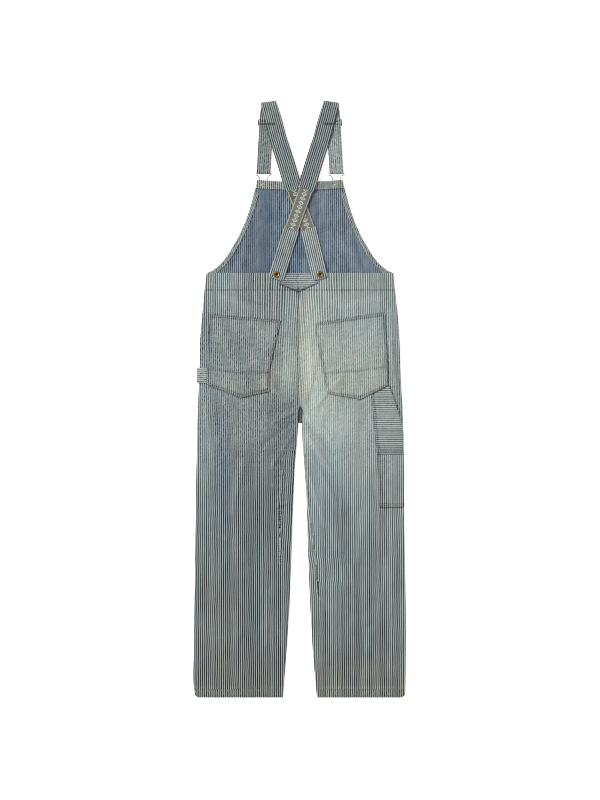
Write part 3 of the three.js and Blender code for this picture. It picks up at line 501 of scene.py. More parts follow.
# ---------------------------------------------------------------- cloth sheets
@dataclass
class Cloth:
    """One cut piece of cloth on a grid of points down the middle of its thickness, in millimetres.

    Fields:
        node: the solid that it stands for.
        grid: rows x columns x 3 points.
        grain: rows x columns x 2 places on the cloth, across and along its stripes; a tube has one more
            column, for the place where it closes.
        wear, tint: numbers for every point, or one for all; the first is how rubbed the cloth is together
            with painted shade, which below 0 darkens it.
    """

    node: str
    grid: Array
    grain: Array
    thickness: float
    finish: StripedTwill | WovenElastic
    wear_and_shade: Array | float = 0.4
    tint: Array | float = 0.0
    rests_on: tuple[str, ...] = ()
    closed: bool = False
    hole: tuple[float, float, float] | None = None
    rows: list[Array] = field(default_factory=list)
    thread: CottonThread = PALE_THREAD

    def faces(self) -> tuple[list[tuple[int, ...]], list[int]]:
        """The grid's quads, and for each corner its place in grain."""
        count, wide = self.grid.shape[:2]
        spans = wide if self.closed else wide - 1
        grain_wide = self.grain.shape[1]
        quads, corners = [], []
        for i in range(count - 1):
            for j in range(spans):
                after = (j + 1) % wide
                quad = (i * wide + j, i * wide + after, (i + 1) * wide + after, (i + 1) * wide + j)
                if self.hole and self.in_hole(quad):
                    continue
                quads.append(quad)
                corners += [i * grain_wide + j, i * grain_wide + j + 1]
                corners += [(i + 1) * grain_wide + j + 1, (i + 1) * grain_wide + j]
        return quads, corners

    def in_hole(self, quad: tuple[int, ...]) -> bool:
        """Whether a quad's middle lies in the piece's round hole."""
        x, y, radius = self.hole
        middle = self.grid.reshape(-1, 3)[list(quad)].mean(0)
        return math.hypot(middle[0] - x, middle[1] - y) < radius

    def cut_size(self) -> tuple[float, float, float]:
        """Width, length and area of the flat cut in metres, from the grid's own lengths."""
        around = self.grid if not self.closed else np.concatenate([self.grid, self.grid[:, :1]], axis=1)
        across = np.linalg.norm(np.diff(around, axis=1), axis=2).sum(1)
        along = np.linalg.norm(np.diff(self.grid, axis=0), axis=2)
        step = along.mean(1)
        area = float(((across[:-1] + across[1:]) / 2 * step).sum())
        width, length = float(across.max()), float(along.sum(0).max())
        return width * MM, length * MM, min(area, width * length) * MM * MM

    def build(self) -> Object:
        """Returns:
            The finished piece.
        """
        quads, corners = self.faces()
        points = (self.grid.reshape(-1, 3) + PLACE) * MM
        name = f"{self.node}_cloth"
        mesh = bpy.data.meshes.new(name)
        mesh.from_pydata([tuple(p) for p in points], [], quads)
        layer = mesh.uv_layers.new(name="grain")
        layer.data.foreach_set("uv", (self.grain.reshape(-1, 2)[corners] * MM).ravel().astype(np.float32))
        for title, value in (("wear_and_shade", self.wear_and_shade), ("tint", self.tint)):
            flat = np.broadcast_to(np.asarray(value, float), self.grid.shape[:2]).ravel()
            mesh.attributes.new(title, "FLOAT", "POINT").data.foreach_set("value", flat.astype(np.float32))
        if self.hole:
            drop_loose(mesh)
        piece = added(name, mesh)
        mesh.materials.append(self.finish.material())
        select_only(piece)
        modified(piece, "SOLIDIFY", thickness=self.thickness * MM, offset=0.0, use_rim=True)
        rounded(piece, 0.3 * self.thickness, 2, 60, 50)
        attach(piece, "root")
        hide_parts(self.node)
        if self.rows:
            stitches(f"{self.node}_stitches", self.rows, self.thread, self.finish.slot)
        width, length, area = self.cut_size()
        under = list(self.rests_on)
        LOG.info("%s: %.0f x %.0f mm cut", name, width / MM, length / MM)
        return piece


def drop_loose(mesh: bpy.types.Mesh) -> None:
    """Removes the points that no face uses."""
    bm = bmesh.new()
    bm.from_mesh(mesh)
    bmesh.ops.delete(bm, geom=[v for v in bm.verts if not v.link_faces], context="VERTS")
    bm.to_mesh(mesh)
    bm.free()


def added(name: str, data: bpy.types.ID) -> Object:
    """A new object of that name in the scene."""
    piece = bpy.data.objects.new(name, data)
    bpy.context.scene.collection.objects.link(piece)
    return piece


def modified(piece: Object, kind: str, **settings: object) -> None:
    """Applies a modifier with its settings to the active object."""
    modifier = piece.modifiers.new(kind.lower(), kind)
    for name, value in settings.items():
        setattr(modifier, name, value)
    bpy.ops.object.modifier_apply(modifier=modifier.name)


def rounded(piece: Object, width: float, segments: int, angle: float, smooth_to: float) -> None:
    """Bevels the edges of the active object that turn by more than an angle, and shades it smooth.

    Args:
        piece: the object.
        width: the bevel's width in millimetres, or 0 for none.
        segments: how many strips the bevel has.
        angle: degrees between the faces of a bevelled edge.
        smooth_to: degrees up to which the shading is smooth.
    """
    if width:
        limits = {"limit_method": "ANGLE", "angle_limit": math.radians(angle)}
        modified(piece, "BEVEL", width=width * MM, segments=segments, **limits)
    bpy.ops.object.shade_smooth_by_angle(angle=math.radians(smooth_to))


def select_only(piece: Object) -> None:
    """Selects one object and makes it the active one."""
    bpy.ops.object.select_all(action="DESELECT")
    piece.select_set(True)
    bpy.context.view_layer.objects.active = piece


@dataclass(frozen=True)
class Stitch:
    """One stitch and its spacing, in millimetres. Real thread is 0.6 mm; this is a little thicker, and its
    stitches a little longer, so that they show."""

    pitch: float = 4.2
    length: float = 3.1
    half: float = 0.5
    sunk: float = 0.12

    def along(self, line: Array) -> list[tuple[Array, Array]]:
        """Ends of each stitch along a line of points.

        Args:
            line: n x 3 points in millimetres.

        Returns:
            A pair of points for each stitch.
        """
        run = run_along(line)
        count = max(1, int(run[-1] / self.pitch))
        starts = (np.arange(count) + 0.5) * run[-1] / count - self.length / 2
        at = lambda s: np.stack([np.interp(s, run, line[:, k]) for k in range(3)], axis=1)
        return list(zip(at(starts), at(starts + self.length)))


STITCH = Stitch()


def stitches(name: str, lines: Sequence[Array], thread: CottonThread, slot: str) -> Object:
    """All the stitches of a piece as one mesh.

    Args:
        name: the mesh's name.
        lines: lines of points on the cloth's surface, in millimetres.
        thread: the thread's finish.
        slot: not used.

    Returns:
        The piece, riding on the frame.
    """
    points: list[Array] = []
    faces: list[tuple[int, ...]] = []
    for start, end in (pair for line in lines for pair in STITCH.along(line)):
        run = (end - start) / max(np.linalg.norm(end - start), 1e-6)
        side = np.cross(run, (0.0, 0.0, 1.0))
        side = side / max(np.linalg.norm(side), 1e-6)
        up = np.cross(side, run)
        first = len(points)
        sink = up * STITCH.sunk
        points.append(start - sink * 2)
        for share in (0.22, 0.78):
            middle = start + (end - start) * share - sink * 0.3
            for angle in (45, 135, 225, 315):
                turn = math.radians(angle)
                points.append(middle + STITCH.half * (side * math.cos(turn) + up * math.sin(turn)))
        points.append(end - sink * 2)
        for k in range(4):
            a, b = first + 1 + k, first + 1 + (k + 1) % 4
            faces += [(first, b, a), (a, b, b + 4, a + 4), (a + 4, b + 4, first + 9)]
    mesh = bpy.data.meshes.new(name)
    mesh.from_pydata([tuple((p + PLACE) * MM) for p in points], [], faces)
    mesh.materials.append(thread.material())
    piece = added(name, mesh)
    select_only(piece)
    bpy.ops.object.mode_set(mode="EDIT")
    bpy.ops.mesh.select_all(action="SELECT")
    bpy.ops.mesh.normals_make_consistent(inside=False)
    bpy.ops.object.mode_set(mode="OBJECT")
    bpy.ops.object.shade_smooth_by_angle(angle=math.radians(80))
    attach(piece, "root")
    return piece


# ---------------------------------------------------------------- wear and creases of the body
class Blot(NamedTuple):
    """A soft patch: its middle, its half sizes across and along, its lean from +Y and its strength."""

    x: float
    y: float
    across: float
    along: float
    lean: float
    strength: float


class Crease(NamedTuple):
    """A soft ridge, or a trough where rise is negative, along a line, with its reach to each side."""

    x0: float
    y0: float
    x1: float
    y1: float
    half: float
    rise: float


# Soft patches where the cloth is lighter, above 0, or darker: mostly rubbed pale or kept its colour, with
# painted shade in the dark patches by the left inner thigh.
# x, y, half sizes across and along, lean in degrees, strength
WEAR_AND_SHADE_BLOTS = [Blot(*row) for row in (
    (30, 90, 30, 125, -4, 0.38), (14, 230, 34, 60, 0, 0.12), (60, -45, 60, 55, 50, 0.20),
    (120, -75, 60, 50, 60, 0.16), (-45, 75, 24, 65, 38, 0.14), (-90, 150, 22, 80, 40, 0.08),
    (-165, 130, 42, 60, 0, -0.12), (-225, 100, 14, 130, 0, -0.02), (-48, -20, 30, 42, 60, -0.13),
    (-25, 95, 20, 90, 0, 0.34), (-130, -290, 70, 80, 0, -0.20), (-60, -80, 34, 50, 0, -0.18),
    (-150, -700, 100, 80, 0, -0.08), (0, 300, 46, 22, 0, -0.10), (-254, 180, 12, 100, 0, -0.22),
    (-264, -400, 12, 240, 0, 0.05), (264, -450, 12, 220, 0, 0.05), (150, 252, 90, 22, 0, 0.10),
    (-115, -70, 34, 50, 0, 0.08), (-40, -165, 26, 90, 4, -0.26), (-190, -170, 40, 120, 0, -0.08),
    (-250, -150, 16, 160, 0, 0.14), (-112, -400, 26, 150, 2, 0.06), (-52, -300, 9, 130, 2, -0.16),
    (-160, -480, 20, 130, 0, -0.10), (-215, -520, 28, 120, 0, -0.06), (-70, -560, 22, 90, 0, 0.06),
    (150, 140, 80, 90, 0, 0.17), (252, 90, 14, 150, -4, -0.24), (45, -150, 22, 60, -18, 0.10),
    (75, -200, 10, 70, -24, -0.10), (110, -180, 14, 70, -10, 0.12), (40, -330, 9, 160, -7, 0.06),
    (95, -300, 26, 110, -4, -0.08), (150, -260, 26, 110, 0, 0.08), (112, -450, 14, 36, -6, 0.16),
    (185, -440, 24, 120, 0, 0.03), (235, -560, 24, 140, 0, 0.06), (130, -620, 26, 90, 0, -0.04),
)]
# Where it is bluer, above 0, or browner.
# x, y, half sizes across and along, lean in degrees, strength
TINT_BLOTS = [Blot(*row) for row in (
    (40, 60, 60, 150, 0, -0.35), (-70, 60, 60, 90, 30, -0.3), (-250, 160, 30, 140, 0, 0.5),
    (225, 215, 50, 50, 0, 0.8), (-220, -230, 60, 160, 0, 0.5), (70, -200, 50, 160, 0, 0.8),
    (130, -380, 80, 140, 0, 0.5), (-210, -560, 50, 130, 0, -0.6), (-100, -90, 60, 60, 0, -0.3),
    (0, -760, 400, 90, 0, -0.9),
)]
# The largest folds are those of the solids.
# x0, y0, x1, y1, reach to each side, rise
FOLDS = [Crease(*row) for row in (
    (-62, -70, -150, -400, 46, 0.9), (-40, -170, -70, -470, 34, -1.1), (-120, -430, -100, -690, 44, -0.9),
    (-205, -420, -190, -700, 46, 0.8), (30, -60, 140, -150, 30, 0.9), (95, -230, 120, -640, 46, 0.8),
    (205, -330, 215, -680, 44, -0.9), (45, -200, 55, -600, 30, -0.7),
)]
# x0, y0, x1, y1, reach to each side, rise
BACK_CREASES = [Crease(*row) for row in (
    (14, -44, 78, -104, 9, 0.9), (18, -66, 92, -148, 8, -0.8), (20, -96, 84, -196, 10, 0.9),
    (34, -140, 100, -262, 9, -0.7), (26, -205, 66, -330, 8, 0.7), (-12, -30, -70, -62, 9, 0.9),
    (-14, -58, -96, -120, 9, -0.8), (-18, -92, -74, -176, 10, 0.8), (-30, 120, -128, 196, 13, 0.6),
    (-24, 84, -132, 142, 11, -0.5), (-20, 48, -118, 98, 12, 0.6), (26, 150, 30, 20, 12, 0.6),
    (-205, 268, -120, 232, 12, 0.6), (-150, 262, -86, 240, 9, -0.4), (215, 262, 110, 238, 13, 0.5),
    (236, 150, 250, 40, 10, 0.7), (-246, -20, -226, -150, 11, 0.8), (-212, -40, -190, -190, 14, -0.7),
    (-150, -170, -176, -300, 16, 0.8), (-232, -300, -150, -336, 14, -0.5),
    (-226, -352, -168, -372, 12, 0.5), (104, -418, 112, -476, 5, 0.9), (120, -424, 127, -468, 5, -0.7),
    (134, -432, 138, -482, 6, 0.6), (160, -300, 150, -420, 13, 0.7), (226, -420, 214, -520, 12, 0.7),
    (-80, -500, -88, -640, 13, 0.8), (-226, -600, -216, -720, 14, 0.6), (70, -560, 78, -690, 13, -0.7),
    (180, -600, 172, -720, 14, 0.7), (-150, -620, -160, -735, 10, -0.6), (-66, -176, -44, -192, 5, 1.0),
    (-62, -204, -36, -212, 5, -1.1), (-70, -226, -40, -236, 6, 1.1), (-66, -250, -44, -254, 5, -0.9),
    (-60, -280, -34, -270, 6, 0.9), (-58, -306, -38, -298, 5, -0.8), (-44, -330, -30, -352, 5, 1.0),
    (-50, -372, -32, -396, 6, -0.8), (24, -352, 36, -372, 5, 0.8), (28, -392, 44, -408, 5, -0.8),
    (34, -446, 48, -470, 6, 0.7), (-100, 40, -30, -8, 10, 0.7), (-150, 60, -60, 2, 12, -0.6),
    (-200, 30, -110, -22, 14, 0.5), (60, 120, 22, -10, 10, -0.5), (110, 60, 40, -20, 12, 0.6),
)]
# x0, y0, x1, y1, reach to each side, rise
FRONT_CREASES = [Crease(*row) for row in (
    (-40, -130, -120, -260, 16, 0.7), (-200, -80, -170, -240, 18, 0.6), (-90, -380, -110, -560, 20, 0.8),
    (-210, -420, -190, -600, 16, 0.5), (36, -150, 110, -300, 15, 0.7), (210, -120, 180, -280, 18, 0.6),
    (120, -420, 100, -600, 20, 0.8), (220, -500, 205, -690, 15, 0.5), (-110, 60, -60, 180, 18, 0.5),
    (120, 40, 70, 170, 16, 0.6),
)]
INSEAM_END_Y = {Side.LEFT: -430, Side.RIGHT: -523}
# The felled inseams show a little inside the inner edges of the legs.
INSEAMS = {
    Side.LEFT: (
        (-40, -130), (-46, -165), (-51, -230), (-53, -300), (-52, -421), (-60, -560), (-76, -700), (-86, -753)
    ),
    Side.RIGHT: ((12, -120), (16, -200), (27, -300), (38, -400), (51, -523), (66, -640), (84, -753)),
}


class PatchRow(NamedTuple):
    """One row of a patch from a left point to a right point, dipping at the share `at` of the way."""

    x0: float
    y0: float
    x1: float
    y1: float
    dip: float
    at: float


INSERT_ROWS = (PatchRow(-37, 327.7, 35, 327.7, 0, 0.485), PatchRow(-54, 299, 47, 301, 22, 0.485))
POCKET_ROWS = {
    Side.LEFT: (
        PatchRow(-233, 218, -50, 203, 0, 0.547),
        PatchRow(-240, 78, -80, 70, 4, 0.547),
        PatchRow(-241, 38, -80, 19, 24.6, 0.547),
    ),
    Side.RIGHT: (
        PatchRow(38, 195, 221, 224, 0, 0.54),
        PatchRow(62, 68, 229, 86, 4, 0.54),
        PatchRow(73, 14, 229, 35, 26.3, 0.54),
    ),
}
TOOL_POCKET_EDGE = (
    (268, -55), (233, 34.2), (187, 9.5), (195, -76), (201.5, -146), (207.5, -281), (268, -281)
)


def outline(rows: Sequence[PatchRow]) -> list[tuple[float, float]]:
    """The outline of a patch, down its left edge, along its point and up its right edge."""
    last = rows[-1]
    point = (last.x0 + (last.x1 - last.x0) * last.at, last.y0 + (last.y1 - last.y0) * last.at - last.dip)
    return [
        *((r.x0, r.y0) for r in rows),
        point,
        *((r.x1, r.y1) for r in reversed(rows)),
        (rows[0].x0, rows[0].y0),
    ]


def blots_at(blots: Sequence[Blot], x: Array, y: Array) -> Array:
    """Sum of soft patches at each point."""
    total = np.zeros(np.broadcast(x, y).shape)
    for blot in blots:
        lean = math.radians(blot.lean)
        dx, dy = x - blot.x, y - blot.y
        u = dx * math.cos(lean) - dy * math.sin(lean)
        v = dx * math.sin(lean) + dy * math.cos(lean)
        total = total + blot.strength * np.exp(-((u / blot.across) ** 2) - (v / blot.along) ** 2)
    return total


def away_from(x: Array, y: Array, line: Sequence[tuple[float, float]]) -> Array:
    """Distance of each point from a line of points."""
    best = np.full(np.broadcast(x, y).shape, 1e9)
    for (x0, y0), (x1, y1) in zip(line, line[1:]):
        dx, dy = x1 - x0, y1 - y0
        t = np.clip(((x - x0) * dx + (y - y0) * dy) / (dx * dx + dy * dy), 0, 1)
        best = np.minimum(best, np.hypot(x - x0 - t * dx, y - y0 - t * dy))
    return best


def creases_at(creases: Sequence[Crease], x: Array, y: Array, sharp: float = 0.0) -> Array:
    """Height of all the creases at each point.

    Args:
        creases: the ridges and troughs.
        x, y: the points.
        sharp: from 0, a round ridge, to 1, a narrow one with a long skirt.

    Returns:
        Heights in millimetres.
    """
    total = np.zeros(np.broadcast(x, y).shape)
    for crease in creases:
        away = away_from(x, y, ((crease.x0, crease.y0), (crease.x1, crease.y1))) / crease.half
        round_ridge = smooth(away, 1.0, 0.0)
        total = total + crease.rise * ((1 - sharp) * round_ridge + sharp * np.exp(-3 * away) * (away < 3))
    return total


@dataclass(frozen=True)
class Body:
    """The laid legs and seat: their outline, how high their upper layer lies, and how it is worn."""

    # y, left edge, left leg's inner edge, right leg's inner edge, right edge
    rows: tuple[tuple[float, ...], ...] = (
        (-775.5, -273, -44, 44, 273.5),
        (-754, -275.6, -42.5, 42, 274),
        (-653, -276, -34.5, 33, 275),
        (-543, -275, -27.5, 26.8, 275),
        (-434, -273, -23.1, 22.3, 273),
        (-325, -271.3, -19.6, 18.5, 271.2),
        (-252, -270.5, -16.7, 16.8, 269.2),
        (-179, -269.3, -13.5, 11.2, 269.2),
        (-107, -267, -7.5, 6.2, 267.8),
        (-70, -267, -5, 5, 268),
        (-28, -265.8, -4.4, 8.5, 266.8),
        (-16, -265.5, -0.15, 0.15, 266.5),
        (3, -264.5, -0.15, 0.15, 265),
        (75, -261.5, -0.15, 0.15, 261.5),
        (148, -260, -0.15, 0.15, 259),
        (221, -254, -0.15, 0.15, 254),
        (263, -250, -0.15, 0.15, 249),
        (300, -246, -0.15, 0.15, 245),
        (328, -242.5, -0.15, 0.15, 242.5),
    )
    swell: float = 2.2

    def outer(self, side: Side, y: Array) -> Array:
        """The outer edge's x at each y."""
        return rounded_column(self.rows, 0, 1 if side is Side.LEFT else 4)(y)

    def inner(self, side: Side, y: Array) -> Array:
        """The x of the centre seam or the inner leg edge at each y."""
        return column(self.rows, 0, 2 if side is Side.LEFT else 3)(y)

    def share(self, x: Array, y: Array) -> Array:
        """How far over a panel each point is, from 0 at its inner edge to 1 at its outer edge."""
        left, right = ((x - self.inner(s, y)) / (self.outer(s, y) - self.inner(s, y)) for s in Side)
        return np.clip(np.where(x < 0, left, right), 0, 1)

    def height(self, x: Array, y: Array) -> Array:
        """Middle height of the upper layer, away from its rolled edges."""
        share = self.share(x, y)
        crown = np.clip(1 - (2 * share - 1) ** 2, 0, 1)
        fade = smooth(y, 302, 235) * smooth(y, HEM_TOP_Y, HEM_TOP_Y + 110)
        folds = creases_at(FOLDS, x, y) * 1.6 + creases_at(BACK_CREASES, x, y, CREASE_SHARPNESS) * 2.6
        uneven = 1.0 * cloud(x, y, 46, 90, 1.5) + 0.6 * cloud(x, y, 15, 30, 7.2)
        seams = self.seam_relief(x, y)
        edge = smooth(crown, 0, 0.30)
        rise = (self.swell * crown + (folds + uneven) * edge) * fade + seams * smooth(crown, 0.02, 0.12)
        return np.maximum(CLOTH * 1.5 + EDGE_SPACE + rise, 2.4)

    def seam_relief(self, x: Array, y: Array) -> Array:
        """Thickness and puckers of the inseams, the centre seam and the turned waist edge."""
        total = np.zeros(np.broadcast(x, y).shape)
        for side, line in INSEAMS.items():
            away = away_from(x, y, line)
            on_leg = (np.sign(x) == side.sign) & (y < BACK_CROTCH_Y)
            pucker = np.sin(y / 2.6 + 3 * cloud(x * 0, y, 40, 40, 3.3)) * smooth(away, 13, 2)
            upper = smooth(y, -470, -330) * smooth(y, -120, -170)
            weight = (0.75 if side is Side.LEFT else 0.4) * upper + 0.12
            total = (
                total
                + on_leg * (0.45 * smooth(away, 6.5, 4.5) + pucker * weight) * self.seam_shown(side, y)
            )
        seat = (y > BACK_CROTCH_Y - 10) & (y < 300)
        away = np.abs(x - CENTRE_SEAM_X)
        pucker = np.sin(y / 2.4 + 2 * cloud(x * 0, y, 30, 30, 5.1)) * smooth(away, 11, 2)
        total = total + seat * (0.35 * smooth(away, 5.5, 4) + 0.22 * pucker)
        turned = smooth(y, WAIST_STITCH_Y - 1.5, WAIST_STITCH_Y + 1.5) * smooth(y, 303, 297)
        groove = smooth(np.abs(y - WAIST_STITCH_Y), 3.5, 0)
        ripple = np.sin(x / 2.7) * smooth(np.abs(y - WAIST_STITCH_Y), 12, 3)
        return total + 0.35 * turned - 0.35 * groove + 0.28 * ripple

    def seam_shown(self, side: Side, y: Array) -> Array:
        """How far the felled inseam shows, from 1 above the knee to 0 where it has turned under."""
        return smooth(y, INSEAM_END_Y[side] - 30, INSEAM_END_Y[side] + 30)

    def fade(self, x: Array, y: Array) -> Array:
        """How far the dark stripes are rubbed pale, from 0 to 1, with painted highlight and shade along the
        creases and painted shade on the inseams.
        """
        left = np.interp(
            y, (-777, -600, -400, -200, -30, 60, 300), (0.03, 0.06, 0.05, 0.10, 0.13, 0.17, 0.22)
        )
        right = np.interp(
            y, (-777, -600, -400, -200, -90, 60, 300), (0.13, 0.18, 0.25, 0.42, 0.50, 0.48, 0.42)
        )
        across = smooth(x, -12, 14)
        base = left * (1 - across) + right * across
        for side, line in INSEAMS.items():
            away = away_from(x, y, line)
            # Beside each inseam a lighter worn band, and on it a darker line: partly indigo kept in the seam,
            # partly painted shade of its hollow.
            rim = 0.10 * smooth(away, 9, 6.5) * smooth(away, 4.5, 6) - 0.14 * smooth(away, 3.0, 0.5)
            base = base + rim * self.seam_shown(side, y)
        hem = 0.12 * smooth(y, HEM_TOP_Y + 12, HEM_TOP_Y + 2)
        blotchy = 0.10 * cloud(x, y, 34, 120, 11.0) + 0.07 * cloud(x, y, 13, 40, 12.0)
        # Crease ridges lighter and troughs darker: partly rubbed along the ridges, partly painted highlight
        # and shade of the creases.
        rubbed = 0.17 * creases_at(BACK_CREASES, x, y, CREASE_SHARPNESS)
        return np.clip(base + blots_at(WEAR_AND_SHADE_BLOTS, x, y) + hem + blotchy + rubbed, 0.0, 1.0)

    def wear_and_shade(self, x: Array, y: Array) -> Array:
        """The fade of the backs, less darker lines along their seams and along the edges laid on them: partly
        indigo kept in the stitched seams, partly painted shade of their hollows and of those edges.
        """
        groove_dye_and_shade = 0.0
        for edge in (
            outline(INSERT_ROWS), *(outline(rows) for rows in POCKET_ROWS.values()), TOOL_POCKET_EDGE
        ):
            groove_dye_and_shade = groove_dye_and_shade - 0.5 * smooth(away_from(x, y, edge), 3.2, 0.8)
        seat = (y > BACK_CROTCH_Y - 6) & (y < 290)
        uneven = 0.6 + 0.6 * cloud(x * 0, y, 9, 9, 2.2)
        groove_dye_and_shade = groove_dye_and_shade - 0.7 * seat * smooth(np.abs(x - CENTRE_SEAM_X), 2.8, 0.8) * uneven
        waist = 0.7 + 0.5 * cloud(x, y * 0, 8, 9, 2.7)
        groove_dye_and_shade = groove_dye_and_shade - 0.5 * smooth(np.abs(y - WAIST_STITCH_Y), 2.8, 0.8) * waist
        return self.fade(x, y) + groove_dye_and_shade

    def tint(self, x: Array, y: Array) -> Array:
        """How blue, above 0, or brown the cloth is."""
        return np.clip(0.15 + blots_at(TINT_BLOTS, x, y) + 0.3 * cloud(x, y, 60, 140, 21.0), -1, 1)

    def rolls(self, y: Array) -> tuple[Array, Array]:
        """How far the side fold, from the waist down, and the inner leg edge, from the crotch, are rolled."""
        return smooth(y, 330, 200), smooth(y, BACK_CROTCH_Y, -150)

    def roll(
        self, edge: Array, inward: int, amount: Array, height: Array, angle: Array, out: float = 0.0
    ) -> tuple[Array, Array]:
        """Points of a rolled edge.

        Args:
            edge: the edge's x.
            inward: 1 or -1, the way into the panel.
            amount: from 0, flat, to 1, rolled down to the seam.
            height: the panel's height where the roll starts.
            angle: 90 where the roll leaves the panel and 0 at the seam.
            out: distance off the rolled cloth.

        Returns:
            x and z of each point.
        """
        upper = height > SEAM_Z
        seam = np.where(upper, SEAM_Z + SEAM_GAP / 2, SEAM_Z - SEAM_GAP / 2)
        turn = np.radians(angle)
        centre = edge + inward * (CLOTH / 2 * amount + ROLL_REACH)
        x = centre - inward * (ROLL_REACH + out) * np.cos(turn)
        z = height - (height - seam) * amount * (1 - np.sin(turn)) + np.where(upper, out, -out) * np.sin(turn)
        return x, z

    def panel(
        self,
        left: Array,
        right: Array,
        y: Array,
        rolls: tuple[Array, Array],
        height: Callable[[Array, Array], Array],
        pitch: float,
    ) -> Array:
        """Grid of a leg panel with both edges rolled.

        Args:
            left, right: the edges' x in each row.
            y: the rows.
            rolls: how far the left and the right edge are rolled in each row.
            height: the height of the flat part at any point.
            pitch: the spacing of the columns.

        Returns:
            rows x columns x 3 points.
        """
        angles = np.linspace(0, 90, 7)
        start = left + CLOTH / 2 + ROLL_REACH
        end = right - CLOTH / 2 - ROLL_REACH
        count = math.ceil((end - start).max() / pitch)
        share = np.linspace(0, 1, count + 1)[1:-1]
        x = start[:, None] + (end - start)[:, None] * share
        rows = np.broadcast_to(y[:, None], x.shape)
        middle = np.stack([x, rows, height(x, rows)], axis=2)
        parts = [middle]
        for edge, inward, amount, at in ((left, 1, rolls[0], start), (right, -1, rolls[1], end)):
            rim = height(at, y)
            turns = angles if inward == 1 else angles[::-1]
            px, pz = self.roll(edge[:, None], inward, amount[:, None], rim[:, None], turns[None, :])
            py = np.broadcast_to(y[:, None], px.shape)
            part = np.stack([px, py, pz], axis=2)
            parts = [part, *parts] if inward == 1 else [*parts, part]
        return np.concatenate(parts, axis=1)


def arc_grain(grid: Array, home: float) -> Array:
    """Cloth places of a panel whose grain line is straight up at home and whose rows are its weft."""
    run = run_along(grid[:, :, (0, 2)], 1)
    at_home = np.array([np.interp(home, row[:, 0], length) for row, length in zip(grid, run)])
    across = run - at_home[:, None] + home
    return np.stack([across, np.broadcast_to(grid[:, :, 1], across.shape)], axis=2)


